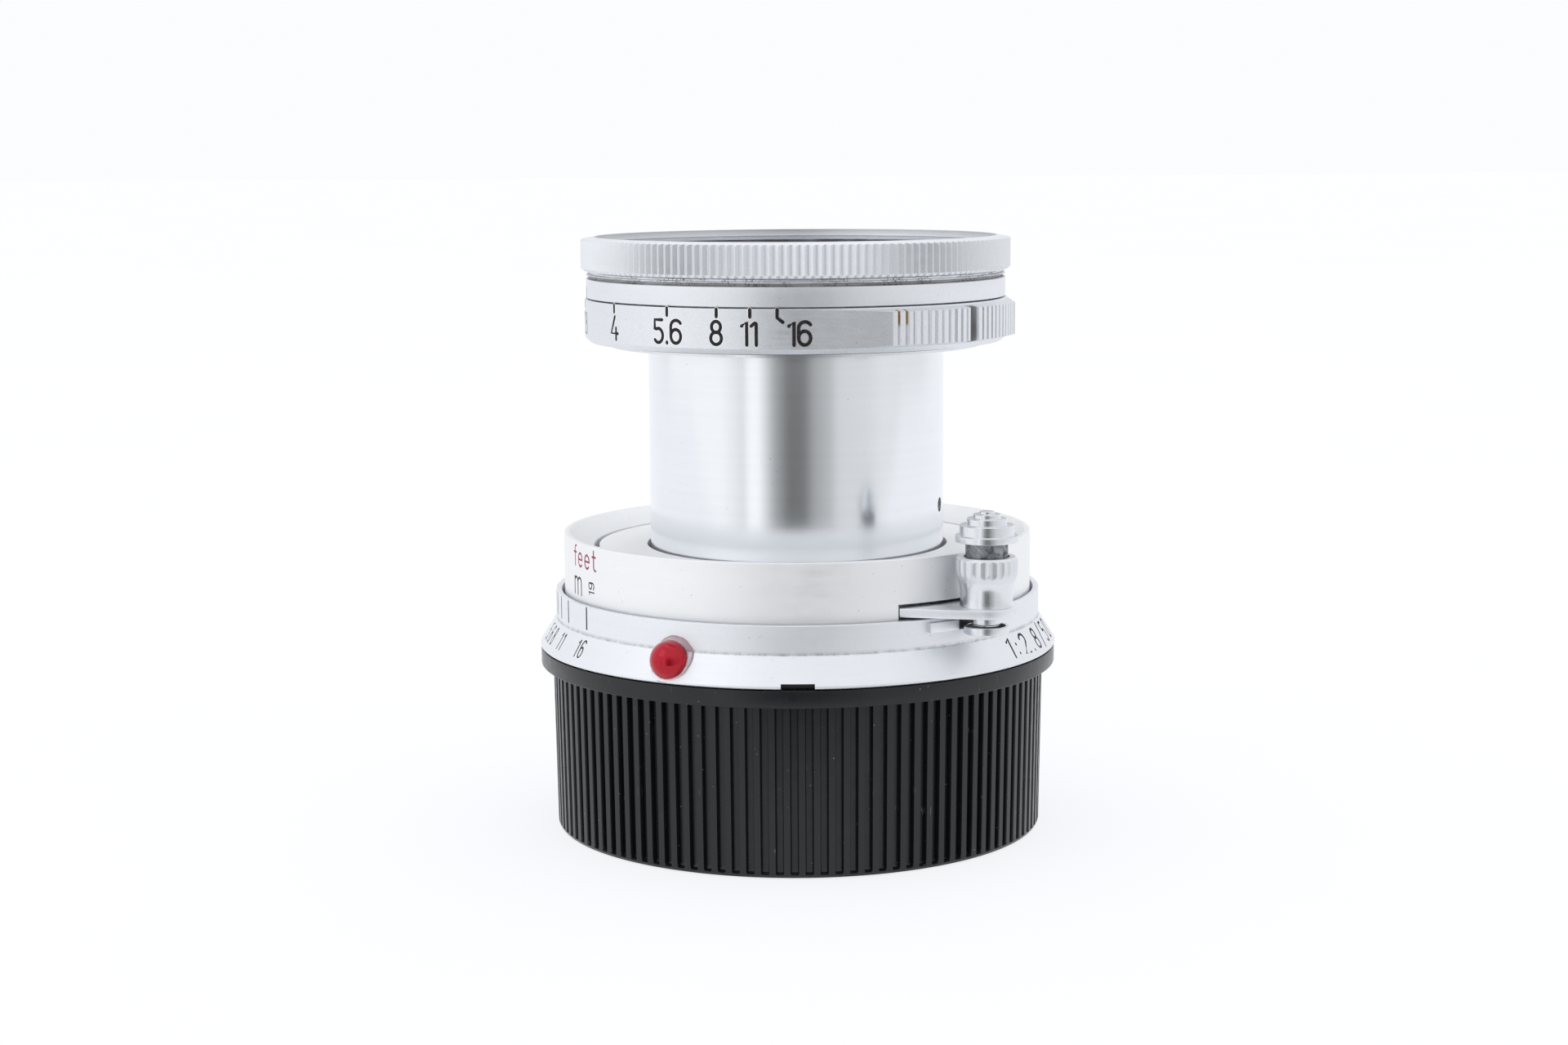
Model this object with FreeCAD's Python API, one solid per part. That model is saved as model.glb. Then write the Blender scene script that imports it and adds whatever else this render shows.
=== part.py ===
"""Collapsible rangefinder camera lens, drawn out, standing on its deep rear bayonet cap.

Millimetres, +Z along the optical axis towards the subject, origin at the centre of the cap's flat base.
An azimuth is counted in degrees from -Y towards +X, so it grows with a right-hand turn about +Z.
One STEP file is written per piece.
"""
import os
from math import asin, atan2, cos, degrees, pi, radians, sin, sqrt

import FreeCAD, Part
from FreeCAD import Vector

# Rear cap: a ribbed cup with a plain flange under the lens
CAP_FLANGE_R = 25.5
CAP_TOP_R = 24.33
CAP_BASE_R = 24.08
CAP_BORE_R = 22.9
CAP_FLOOR = 1.5
CAP_RIB_TOP = 16.3
CAP_RIBS = 110
CAP_RIB_DEPTH = 0.55
SEAT_Z = 17.95                   # the mount's seating plane, where the cap's rim touches

# Bayonet mount
THROAT_R = 20.3
THROAT_BORE_R = 19.2
THROAT_REAR_Z = 13.6
LUG_R = 21.95
LUG_COUNT = 4
LUG_SPAN = 44.0
LUG_Z = (15.2, 16.6)
FLANGE_R = 24.2
FLANGE_TOP = 19.2
MOUNT_SCREW_PCR = 22.75

# Depth-of-field ring around the mount
SKIRT_R = 25.56
SKIRT_Z = 18.13
CREASE_Z = 20.91
WALL_R = 23.92
WALL_TOP = 23.62
CUP_R = 23.36
CUP_FLOOR = 20.2
NOTCH_WIDTH = 3.1
NOTCH_HEIGHT = 0.5
BEAD_R = 1.88
BEAD_AZIMUTH = -28.7
BEAD_Z = 20.05

# Focusing ring and the helicoid inside it
FOCUS_R = 23.06
FOCUS_WALL_R = 22.3
FOCUS_BOTTOM = 20.6
FOCUS_TOP = 29.28
FOCUS_RIM_R = 22.5
FLOOR_Z = 27.9
FLOOR_OUTER_R = 19.6
FLOOR_HOLE_R = 14.85
HELIX_R = 20.69
HELIX_CLEARANCE = 0.06
WEB_R = 20.1
WEB_Z = 26.55

# Focusing lever, its knob and the infinity lock
KNOB_REACH = 26.4
KNOB_AZIMUTH = 41.3
LEVER_Z = (23.85, 24.72)
LEVER_FOOT_R = 22.35
LEVER_NOSE_R = 2.85
LEVER_AZIMUTHS = (24.0, 52.0)
SLOT_Z = (23.55, 25.06)
KNOB_R = 2.88
KNOB_WAIST_R = 2.42
KNOB_TOP = 29.36
KNOB_FLUTES = 24
STEM_R = 2.03
PIN_R = 0.9
RUN_GAP = 0.07
BUTTON_STEPS = ((2.93, 30.73), (2.52, 31.32), (1.86, 32.27), (1.29, 32.88), (0.69, 33.26))
BUTTON_TOP = 33.52
BUTTON_TRAVEL = 0.75
SPRING_CHAMBER_R = 1.7
SPRING_Z = (25.3, 28.3)

# Sliding barrel
TUBE_R = 14.5
TUBE_BORE_R = 13.8
TUBE_Z = (22.0, 47.9)
BUSH_R = 17.35
BUSH_BORE_R = 14.56
CHAMBER_R = 15.75
CHAMBER_Z = (20.2, 23.55)
BRAKE_Z = (24.3, 26.4)
BARREL_LUG_R = 15.6
SCREW_AZIMUTH = 74.2
SCREW_Z = 32.0

# Rangefinder cam sleeve
CAM_R = (17.6, 18.4)
CAM_COLLAR_R = 18.9
CAM_REAR_Z = 10.5
CAM_COLLAR_Z = (21.2, 22.2)
KEY_WIDTH = 2.0

# Head
HOUSING_R = 19.35
CAVITY_R = 13.8
CAVITY_Z = (48.7, 51.6)
DRIVE_Z = (50.2, 51.3)
APERTURE_R = 20.65
APERTURE_BORE_R = 19.42
APERTURE_Z = (48.0, 52.17)
APERTURE_TURN = 77.1
LOBE_R = 21.75
LOBE_Z = (48.75, 51.8)
LOBE_AZIMUTHS = (5.7, 24.0, 76.0, 94.3)
LOBE_TOOTH = 2.15
LOBE_GROOVE = (48.3, 51.7)
CLICK_AZIMUTH = 300.0
CLICK_Z = 50.2
INDEX_R = 20.5
INDEX_Z = (52.3, 54.13)
CLAMP_R = 20.45
FRONT_R = 21.0
FRONT_Z = (54.86, 57.94)
FRONT_TEETH = 167
FRONT_TOOTH_DEPTH = 0.28
RIM_R = 19.62
RIM_Z = 58.16
THREAD_R = 19.25
THREAD_FLOOR = 55.3
FRONT_LEDGE = 52.2
SECOND_SEAT = 50.35
CELL_TOP = 54.2

# Iris: crescents that swing on pins outside their own band
BLADES = 10
BLADE_R = (8.2, 12.2)
BLADE_SPAN = (-3.0, 112.0)
BLADE_PIVOT_R = 12.95
BLADE_EAR_R = 0.75
BLADE_PIN_R = 0.35
BLADE_THICK = 0.09
BLADE_STEP = 0.13
BLADE_Z = 48.75

AXIS = Vector(0, 0, 1)
ORIGIN = Vector(0, 0, 0)


# ---- helpers -------------------------------------------------------------------------------------

def polar(r, azimuth, z=0.0):
    """The point at radius r and an azimuth, at height z."""
    a = radians(azimuth)
    return Vector(r * sin(a), -r * cos(a), z)


def turned(outline, centre=ORIGIN):
    """Turn an outline of (radius, z) corners a full turn about a vertical axis through centre."""
    corners = [Vector(centre.x + r, centre.y, z) for r, z in outline]
    face = Part.Face(Part.makePolygon(corners + corners[:1]))
    return face.revolve(Vector(centre.x, centre.y, 0), AXIS, 360)


def tube(r_in, r_out, z_low, z_high, centre=ORIGIN):
    return turned([(r_in, z_low), (r_out, z_low), (r_out, z_high), (r_in, z_high)], centre)


def rod(r, z_low, z_high, centre=ORIGIN):
    return Part.makeCylinder(r, z_high - z_low, Vector(centre.x, centre.y, z_low))


def sector(r_in, r_out, z_low, z_high, azimuth_low, azimuth_high):
    """A piece of a tube between two azimuths."""
    corners = [polar(r, azimuth_low, z) for r, z in
               ((r_in, z_low), (r_out, z_low), (r_out, z_high), (r_in, z_high))]
    face = Part.Face(Part.makePolygon(corners + corners[:1]))
    return face.revolve(ORIGIN, AXIS, azimuth_high - azimuth_low)


def radial_rod(r, from_r, to_r, azimuth, z):
    """A round bar that points away from the axis."""
    return Part.makeCylinder(r, to_r - from_r, polar(from_r, azimuth, z), polar(1, azimuth))


def prism(points, z_low, z_high):
    """Extrude a closed run of plan points."""
    corners = [Vector(p.x, p.y, z_low) for p in points]
    face = Part.Face(Part.makePolygon(corners + corners[:1]))
    return face.extrude(Vector(0, 0, z_high - z_low))


def at_azimuths(shape, azimuths):
    """Copies of a shape drawn at azimuth 0, as one compound."""
    copies = []
    for azimuth in azimuths:
        copy = shape.copy()
        copy.rotate(ORIGIN, AXIS, azimuth)
        copies.append(copy)
    return Part.makeCompound(copies)


def evenly(count, start=0.0):
    return [start + 360.0 * i / count for i in range(count)]


def sag(radius, r):
    """Depth of a sphere's cap at radius r; a negative radius curves the other way."""
    depth = abs(radius) - sqrt(radius * radius - r * r)
    return depth if radius > 0 else -depth


def element(r, front_z, front_radius, back_z, back_radius):
    """A lens element from its two vertices; a positive radius bulges towards the front."""
    def arc(vertex_z, radius):
        points = [Vector(x, 0, vertex_z - sag(radius, x)) for x in (0.0, r / 2, r)]
        return Part.Arc(*points).toShape(), points[0], points[2]
    front, front_centre, front_edge = arc(front_z, front_radius)
    back, back_centre, back_edge = arc(back_z, back_radius)
    edges = [front, Part.makeLine(front_edge, back_edge), back, Part.makeLine(back_centre, front_centre)]
    return Part.Face(Part.Wire(Part.__sortEdges__(edges))).revolve(ORIGIN, AXIS, 360)


def save(name, shape):
    """Write one piece; every solid in it has to be valid."""
    if not shape.isValid() or not shape.Solids:
        raise ValueError("bad shape: " + name)
    shape.exportStep("parts/%s.step" % name)


# ---- rear cap ------------------------------------------------------------------------------------

def make_rear_cap():
    edge = 0.4
    cup = turned([(0, 0), (CAP_BASE_R - edge, 0), (CAP_BASE_R, edge), (CAP_TOP_R, CAP_RIB_TOP),
                  (CAP_FLANGE_R - 0.15, CAP_RIB_TOP), (CAP_FLANGE_R, CAP_RIB_TOP + 0.15),
                  (CAP_FLANGE_R, SEAT_Z), (CAP_BORE_R, SEAT_Z), (CAP_BORE_R, CAP_FLOOR), (0, CAP_FLOOR)])
    groove_width = pi * CAP_TOP_R / CAP_RIBS
    groove = Part.makeBox(groove_width, 2.0, CAP_RIB_TOP - edge,
                          Vector(-groove_width / 2, -CAP_TOP_R + CAP_RIB_DEPTH - 2.0, edge))
    cup = cup.cut(at_azimuths(groove, evenly(CAP_RIBS)))
    shelf = sector(LUG_R - 1.2, CAP_BORE_R + 0.2, LUG_Z[1] + 0.1, SEAT_Z - 0.15, -16.0, 16.0)
    gaps = evenly(LUG_COUNT, 45.0 + 180.0 / LUG_COUNT)
    save("rear_cap", cup.fuse(at_azimuths(shelf, gaps).Solids).removeSplitter())


# ---- mount ---------------------------------------------------------------------------------------

def mount_screw_places():
    return evenly(4, 22.0)


def make_bayonet_flange():
    ring = turned([(THROAT_BORE_R, THROAT_REAR_Z), (THROAT_R, THROAT_REAR_Z), (THROAT_R, SEAT_Z),
                   (FLANGE_R, SEAT_Z), (FLANGE_R, FLANGE_TOP), (THROAT_BORE_R, FLANGE_TOP)])
    lug = sector(THROAT_R - 0.3, LUG_R, LUG_Z[0], LUG_Z[1], -LUG_SPAN / 2, LUG_SPAN / 2)
    ring = ring.fuse(at_azimuths(lug, evenly(LUG_COUNT, 45.0)).Solids)
    head = rod(0.95, SEAT_Z, SEAT_Z + 0.6, polar(MOUNT_SCREW_PCR, 0))
    shank = rod(0.55, SEAT_Z, FLANGE_TOP, polar(MOUNT_SCREW_PCR, 0))
    ring = ring.cut(at_azimuths(head.fuse(shank), mount_screw_places()))
    save("bayonet_flange", ring.removeSplitter())


def make_bayonet_screws():
    centre = polar(MOUNT_SCREW_PCR, 0)
    screw = rod(0.9, SEAT_Z + 0.03, SEAT_Z + 0.6, centre).fuse(rod(0.5, SEAT_Z + 0.6, 20.0, centre))
    slot = Part.makeBox(1.8, 0.25, 0.25, Vector(-0.9, centre.y - 0.125, SEAT_Z))
    save("bayonet_screws", at_azimuths(screw.cut(slot).removeSplitter(), mount_screw_places()))


def bead_sphere():
    return Part.makeSphere(BEAD_R, polar(24.43, BEAD_AZIMUTH, BEAD_Z))


def make_depth_scale_ring():
    inner_r = FOCUS_WALL_R - 0.3
    bottom, recess_r = SKIRT_Z - 0.08, FLANGE_R + 0.1
    ring = turned([(recess_r, bottom), (SKIRT_R - 0.2, bottom), (SKIRT_R, SKIRT_Z + 0.1),
                   (WALL_R, CREASE_Z), (WALL_R, WALL_TOP - 0.1), (WALL_R - 0.1, WALL_TOP),
                   (CUP_R, WALL_TOP), (CUP_R, CUP_FLOOR), (inner_r, CUP_FLOOR), (inner_r, FLANGE_TOP),
                   (recess_r, FLANGE_TOP)])
    notch = Part.makeBox(NOTCH_WIDTH, 3.0, NOTCH_HEIGHT + 0.1,
                         Vector(-NOTCH_WIDTH / 2, -SKIRT_R - 1.0, SKIRT_Z - 0.1))
    holes = at_azimuths(rod(0.5, FLANGE_TOP, 20.0, polar(MOUNT_SCREW_PCR, 0)), mount_screw_places())
    save("depth_scale_ring", ring.cut([notch, holes, bead_sphere()]).removeSplitter())


def make_index_bead():
    """A glass bead sunk into the ring, flat behind so that it clears the focusing ring and the flange."""
    bead = bead_sphere().cut(rod(CUP_R + 0.15, SKIRT_Z - 1.0, WALL_TOP))
    save("index_bead", bead.cut(rod(FLANGE_R + 0.15, SKIRT_Z - 1.0, FLANGE_TOP + 0.05)))


def make_fixed_helicoid():
    bore = HELIX_R + HELIX_CLEARANCE
    save("fixed_helicoid", tube(bore, FOCUS_WALL_R - 0.35, FLANGE_TOP, WEB_Z - 0.35))


def make_cam_guide_key():
    key = Part.makeBox(KEY_WIDTH, THROAT_BORE_R - 17.8, 2.4, Vector(-KEY_WIDTH / 2, 17.8, 16.6))
    save("cam_guide_key", key.common(rod(THROAT_BORE_R, 16.0, 19.5)))


def make_infinity_catch():
    """A stop block on the ring's wall, and a ring that the pressed pin's foot drops into."""
    centre = polar(KNOB_REACH, KNOB_AZIMUTH)
    block = sector(WALL_R, 24.5, 22.4, 23.35, 30.0, 37.7)
    catch_ring = tube(1.72, 2.12, 22.2, 22.9, centre)
    arm = sector(WALL_R, 24.4, 22.4, 23.3, 37.0, 46.0)
    catch = block.fuse([catch_ring, arm]).cut(rod(WALL_R, 21.0, 23.6))
    save("infinity_catch", catch.removeSplitter())


# ---- rangefinder cam -----------------------------------------------------------------------------

def make_cam_sleeve():
    r_in, r_out = CAM_R
    low, high = CAM_COLLAR_Z
    sleeve = turned([(r_in, CAM_REAR_Z), (r_out, CAM_REAR_Z), (r_out, low), (CAM_COLLAR_R, low),
                     (CAM_COLLAR_R, high), (r_in, high)])
    slot = Part.makeBox(KEY_WIDTH + 0.1, 3.0, 6.0, Vector(-KEY_WIDTH / 2 - 0.05, 16.5, 13.4))
    save("cam_sleeve", sleeve.cut(slot))


def make_cam_retaining_ring():
    save("cam_retaining_ring", tube(CAM_R[1] + 0.06, 19.0, 19.7, CAM_COLLAR_Z[0] - 0.05))


# ---- focusing ------------------------------------------------------------------------------------

def make_focusing_ring():
    ring = turned([(FOCUS_WALL_R, FOCUS_BOTTOM), (FOCUS_R, FOCUS_BOTTOM), (FOCUS_R, FOCUS_TOP - 0.18),
                   (FOCUS_R - 0.18, FOCUS_TOP), (FOCUS_RIM_R, FOCUS_TOP), (WEB_R, FLOOR_Z),
                   (WEB_R, WEB_Z), (FOCUS_WALL_R, WEB_Z)])
    slot = sector(21.5, 24.0, SLOT_Z[0], SLOT_Z[1], LEVER_AZIMUTHS[0] - 0.3, LEVER_AZIMUTHS[1] + 0.3)
    save("focusing_ring", ring.cut(slot).removeSplitter())


def make_focus_helicoid():
    collar_r = CAM_R[1] + 0.06
    save("focus_helicoid", turned([(19.0, 19.6), (HELIX_R, 19.6), (HELIX_R, WEB_Z), (WEB_R, WEB_Z),
                                   (WEB_R, 27.0), (BUSH_R, 27.0), (BUSH_R, 26.0), (collar_r, 26.0),
                                   (collar_r, CAM_COLLAR_Z[1] + 0.1), (19.0, CAM_COLLAR_Z[1] + 0.1)]))


def make_floor_ring():
    save("floor_ring", tube(FLOOR_HOLE_R, FLOOR_OUTER_R, 27.0, FLOOR_Z))


def make_barrel_guide_bush():
    bush = turned([(CHAMBER_R, CHAMBER_Z[0]), (BUSH_R, CHAMBER_Z[0]), (BUSH_R, 27.0), (BUSH_BORE_R, 27.0),
                   (BUSH_BORE_R, BRAKE_Z[1] + 0.05), (CHAMBER_R, BRAKE_Z[1] + 0.05),
                   (CHAMBER_R, BRAKE_Z[0] - 0.05), (BUSH_BORE_R, BRAKE_Z[0] - 0.05),
                   (BUSH_BORE_R, CHAMBER_Z[1]), (CHAMBER_R, CHAMBER_Z[1])])
    shelf = sector(TUBE_R + 0.25, CHAMBER_R + 0.2, CHAMBER_Z[0], CHAMBER_Z[0] + 1.0, 14.0, 84.0)
    save("barrel_guide_bush", bush.fuse(at_azimuths(shelf, evenly(3)).Solids).removeSplitter())


def knob_centre():
    return polar(KNOB_REACH, KNOB_AZIMUTH)


def tangent_point(point, side):
    """Where a line from a plan point touches the lever's round nose, on one side of it."""
    centre = knob_centre()
    to_point = point.sub(centre)
    half = degrees(asin(sqrt(1 - (LEVER_NOSE_R / to_point.Length) ** 2)))
    angle = radians(degrees(atan2(to_point.y, to_point.x)) + side * half)
    return Vector(centre.x + LEVER_NOSE_R * cos(angle), centre.y + LEVER_NOSE_R * sin(angle), 0)


def make_focus_lever():
    centre = knob_centre()
    low, high = LEVER_AZIMUTHS
    left = polar(FOCUS_R, low)
    right = polar(FOCUS_R, high)
    touch_left = tangent_point(left, 1)
    touch_right = tangent_point(right, -1)
    nose = centre.add(Vector(centre).normalize().multiply(LEVER_NOSE_R))
    foot = [polar(LEVER_FOOT_R, azimuth) for azimuth in (high, (low + high) / 2, low)]
    edges = [Part.makeLine(left, touch_left), Part.Arc(touch_left, nose, touch_right).toShape(),
             Part.makeLine(touch_right, right), Part.makeLine(right, foot[0]),
             Part.Arc(*foot).toShape(), Part.makeLine(foot[2], left)]
    face = Part.Face(Part.Wire(Part.__sortEdges__(edges)))
    plate = face.extrude(Vector(0, 0, LEVER_Z[1] - LEVER_Z[0]))
    plate.translate(Vector(0, 0, LEVER_Z[0]))
    save("focus_lever", plate.cut(rod(PIN_R + RUN_GAP, 23.0, 25.5, centre)))


def make_focus_knob():
    bore_low = PIN_R + RUN_GAP
    bore_high = STEM_R + RUN_GAP
    knob = turned([(bore_low, LEVER_Z[1]), (KNOB_WAIST_R + 0.1, LEVER_Z[1]), (KNOB_WAIST_R, LEVER_Z[1] + 0.5),
                   (KNOB_WAIST_R, 26.6), (KNOB_R, 27.5), (KNOB_R, KNOB_TOP - 0.25), (KNOB_R - 0.25, KNOB_TOP),
                   (bore_high, KNOB_TOP), (bore_high, SPRING_Z[1] - BUTTON_TRAVEL - 0.1),
                   (SPRING_CHAMBER_R, SPRING_Z[1] - BUTTON_TRAVEL - 0.1), (SPRING_CHAMBER_R, SPRING_Z[0]),
                   (bore_low, SPRING_Z[0])], knob_centre())
    flutes = []
    for azimuth in evenly(KNOB_FLUTES):
        flutes.append(rod(0.33, 27.2, KNOB_TOP + 0.2, knob_centre().add(polar(KNOB_R + 0.2, azimuth))))
    save("focus_knob", knob.cut(Part.makeCompound(flutes)))


def make_lock_spring():
    """The spring's coils around the pin, each drawn as a closed ring of eight-sided wire."""
    coils, coil_r, flat = 6, 1.35, 0.12
    low, high = SPRING_Z
    wire_r = flat / cos(pi / 8)
    pitch = (high - low - 2 * flat) / (coils - 1)
    rings = []
    for coil in range(coils):
        middle = low + flat + pitch * coil
        wire = [(coil_r + wire_r * cos(pi * (k + 0.5) / 4), middle + wire_r * sin(pi * (k + 0.5) / 4))
                for k in range(8)]
        rings.append(turned(wire, knob_centre()))
    save("lock_spring", Part.makeCompound(rings))


def make_lock_button():
    outline = [(0, LEVER_Z[0] - 0.1), (PIN_R, LEVER_Z[0] - 0.1), (PIN_R, SPRING_Z[1]), (STEM_R, SPRING_Z[1]),
               (STEM_R, BUTTON_STEPS[0][1])]
    tops = [z for r, z in BUTTON_STEPS[1:]] + [BUTTON_TOP]
    for (r, low), top in zip(BUTTON_STEPS, tops):
        outline += [(r, low), (r, top)]
    outline.append((0, BUTTON_TOP))
    save("lock_button", turned(outline, knob_centre()))


def make_lock_pin_foot():
    save("lock_pin_foot", rod(1.35, 22.95, LEVER_Z[0] - 0.1, knob_centre()))


# ---- barrel --------------------------------------------------------------------------------------

def make_barrel_brake_ring():
    """Split spring ring that grips the tube and turns with it."""
    ring = tube(TUBE_R + 0.02, CHAMBER_R - 0.05, BRAKE_Z[0], BRAKE_Z[1])
    split = Part.makeBox(1.2, 5.0, 4.0, Vector(-0.6, 12.0, BRAKE_Z[0] - 0.5))
    save("barrel_brake_ring", ring.cut(split))


def make_barrel_tube():
    body = tube(TUBE_BORE_R, TUBE_R, TUBE_Z[0], TUBE_Z[1])
    save("barrel_tube", body.cut(radial_rod(0.7, 12.0, 16.0, SCREW_AZIMUTH, SCREW_Z)))


def make_barrel_screw():
    screw = radial_rod(0.62, TUBE_BORE_R, TUBE_R - 0.25, SCREW_AZIMUTH, SCREW_Z)
    slot = Part.makeBox(0.2, 1.0, 1.4, Vector(-0.1, -TUBE_R - 0.6, SCREW_Z - 0.7))
    save("barrel_screw", screw.cut(at_azimuths(slot, [SCREW_AZIMUTH])))


def make_barrel_lug_ring():
    low = TUBE_Z[0] - 0.8
    ring = tube(13.2, TUBE_R, low, TUBE_Z[0])
    lug = sector(TUBE_R - 0.2, BARREL_LUG_R, low, CHAMBER_Z[1] - 0.05, -9.0, 9.0)
    lug = lug.cut(tube(TUBE_BORE_R - 0.1, TUBE_R, TUBE_Z[0], TUBE_Z[1]))
    save("barrel_lug_ring", ring.fuse(at_azimuths(lug, evenly(3)).Solids).removeSplitter())


def make_light_baffle():
    """Lining of the tube with light-trap ridges."""
    ridges = 9
    low, high = 23.2, 42.0
    pitch = (high - low) / ridges
    outline = [(TUBE_BORE_R, low), (TUBE_BORE_R, high)]
    for i in range(ridges, 0, -1):
        outline += [(12.9, low + pitch * i), (13.4, low + pitch * (i - 1) + 0.1 * pitch)]
    outline.append((12.9, low))
    save("light_baffle", turned(outline))


# ---- head ----------------------------------------------------------------------------------------

def base_screw_places():
    return evenly(3, 30.0)


def make_head_base_plate():
    plate = tube(TUBE_R + 0.05, 18.25, TUBE_Z[1] - 0.35, TUBE_Z[1])
    holes = at_azimuths(rod(0.9, 47.0, 48.5, polar(17.2, 0)), base_screw_places())
    save("head_base_plate", plate.cut(holes))


def make_base_plate_screws():
    centre = polar(17.2, 0)
    screw = rod(0.85, TUBE_Z[1] - 0.35, TUBE_Z[1], centre).fuse(rod(0.45, TUBE_Z[1], 50.0, centre))
    slot = Part.makeBox(1.8, 0.22, 0.2, Vector(-0.9, centre.y - 0.11, TUBE_Z[1] - 0.4))
    save("base_plate_screws", at_azimuths(screw.cut(slot).removeSplitter(), base_screw_places()))


def make_iris_housing():
    low, high = TUBE_Z[1], CAVITY_Z[1]
    body = turned([(8.9, low), (HOUSING_R, low), (HOUSING_R, high), (CAVITY_R, high),
                   (CAVITY_R, CAVITY_Z[0]), (8.9, CAVITY_Z[0])])
    pin_slot = sector(CAVITY_R - 0.5, HOUSING_R + 0.5, DRIVE_Z[0], DRIVE_Z[1],
                      180.0 - APERTURE_TURN - 4.0, 184.0)
    screw_holes = at_azimuths(rod(0.45, low - 0.5, 50.0, polar(17.2, 0)), base_screw_places())
    pin_hole = rod(BLADE_PIN_R + 0.03, 48.25, 49.0, polar(BLADE_PIVOT_R, 0))
    pin_holes = at_azimuths(pin_hole, evenly(BLADES, 90.0))
    click_hole = radial_rod(0.56, 16.6, HOUSING_R + 0.5, CLICK_AZIMUTH, CLICK_Z)
    save("iris_housing", body.cut([pin_slot, screw_holes, pin_holes, click_hole]).removeSplitter())


def make_click_ball():
    save("click_ball", Part.makeSphere(0.5, polar(18.88, CLICK_AZIMUTH, CLICK_Z)))


def make_click_spring():
    save("click_spring", radial_rod(0.45, 16.6, 18.38, CLICK_AZIMUTH, CLICK_Z))


def lobe_outline():
    """Plan of one finger grip: a flat tangent to the ring, serrations with a wide groove, and a second flat."""
    start, grip_start, grip_end, end = LOBE_AZIMUTHS
    inner_r = APERTURE_BORE_R + 0.4
    tooth_depth = 0.22
    points = [polar(inner_r, start), polar(APERTURE_R, start)]
    points.append(polar(LOBE_R, grip_start))
    azimuth = grip_start + 1.7
    while azimuth < grip_end - LOBE_TOOTH / 2:
        if not LOBE_GROOVE[0] - 1.0 < azimuth < LOBE_GROOVE[1] + 1.0:
            points.append(polar(LOBE_R, azimuth - 0.45))
            points.append(polar(LOBE_R - tooth_depth, azimuth))
            points.append(polar(LOBE_R, azimuth + 0.45))
        elif azimuth < LOBE_GROOVE[0] + LOBE_TOOTH:
            points.append(polar(LOBE_R, LOBE_GROOVE[0]))
            points.append(polar(LOBE_R - 0.6, LOBE_GROOVE[0] + 0.7))
            points.append(polar(LOBE_R - 0.6, LOBE_GROOVE[1] - 0.7))
            points.append(polar(LOBE_R, LOBE_GROOVE[1]))
        azimuth += LOBE_TOOTH
    points += [polar(LOBE_R, grip_end), polar(APERTURE_R, end), polar(inner_r, end)]
    return points + [polar(inner_r, a) for a in range(int(end) - 6, int(start) + 3, -6)]


def make_aperture_ring():
    low, high = APERTURE_Z
    ring = turned([(APERTURE_BORE_R, low), (APERTURE_R - 0.5, low), (APERTURE_R, low + 0.49),
                   (APERTURE_R, high - 0.12), (APERTURE_R - 0.12, high), (APERTURE_BORE_R, high)])
    lobe = prism(lobe_outline(), LOBE_Z[0], LOBE_Z[1])
    other = lobe.copy()
    other.rotate(ORIGIN, AXIS, 180)
    ring = ring.fuse([lobe, other]).removeSplitter()
    pin_hole = radial_rod(0.4, APERTURE_BORE_R - 1.0, 20.1, 180.0, sum(DRIVE_Z) / 2)
    save("aperture_ring", ring.cut(pin_hole))


def make_aperture_drive_pin():
    save("aperture_drive_pin", radial_rod(0.38, 12.9, 20.05, 180.0, sum(DRIVE_Z) / 2))


def make_iris_cam_ring():
    low, high = DRIVE_Z
    shelf = low + 0.4
    ring = turned([(10.1, low), (13.7, low), (13.7, high), (12.6, high), (12.6, shelf), (10.1, shelf)])
    window = sector(10.6, 12.0, low - 0.2, low + 0.6, -9.0, 9.0)
    pin_hole = radial_rod(0.38, 12.0, 14.0, 180.0, (low + high) / 2)
    save("iris_cam_ring", ring.cut([at_azimuths(window, evenly(BLADES, 18.0)), pin_hole]))


def make_iris_blades():
    """Thin crescents, one height each, whose pins stand in the housing's floor."""
    ear_centre = polar(BLADE_PIVOT_R, 0)
    for index, azimuth in enumerate(evenly(BLADES, 90.0)):
        low = BLADE_Z + BLADE_STEP * index
        high = low + BLADE_THICK
        band = sector(BLADE_R[0], BLADE_R[1], low, high, BLADE_SPAN[0], BLADE_SPAN[1])
        neck = sector(BLADE_R[1] - 0.5, BLADE_PIVOT_R, low, high, BLADE_SPAN[0], -BLADE_SPAN[0])
        ear = rod(BLADE_EAR_R, low, high, ear_centre)
        pin = rod(BLADE_PIN_R, CAVITY_Z[0] - 0.4, high, ear_centre)
        blade = band.fuse([neck, ear, pin]).removeSplitter()
        blade.rotate(ORIGIN, AXIS, azimuth)
        save("iris_blade_%02d" % (index + 1), blade)


def make_index_ring():
    low, high = INDEX_Z
    inner, seat = 16.5, CAVITY_Z[1]
    save("index_ring", turned([(inner, seat), (HOUSING_R, seat), (HOUSING_R, low), (INDEX_R, low),
                               (INDEX_R, high), (inner, high)]))


def make_clamp_ring():
    """Grooved ring behind the knurled one, where a slip-on hood's spring clips catch."""
    low, high = INDEX_Z[1], FRONT_Z[0]
    middle = (low + high) / 2
    inner, groove = 16.9, CLAMP_R - 0.3
    save("clamp_ring", turned([(inner, low), (CLAMP_R - 0.05, low), (groove, low + 0.15),
                               (CLAMP_R, middle - 0.08), (CLAMP_R, middle + 0.08), (groove, high - 0.12),
                               (CLAMP_R - 0.2, high), (inner, high)]))


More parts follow.
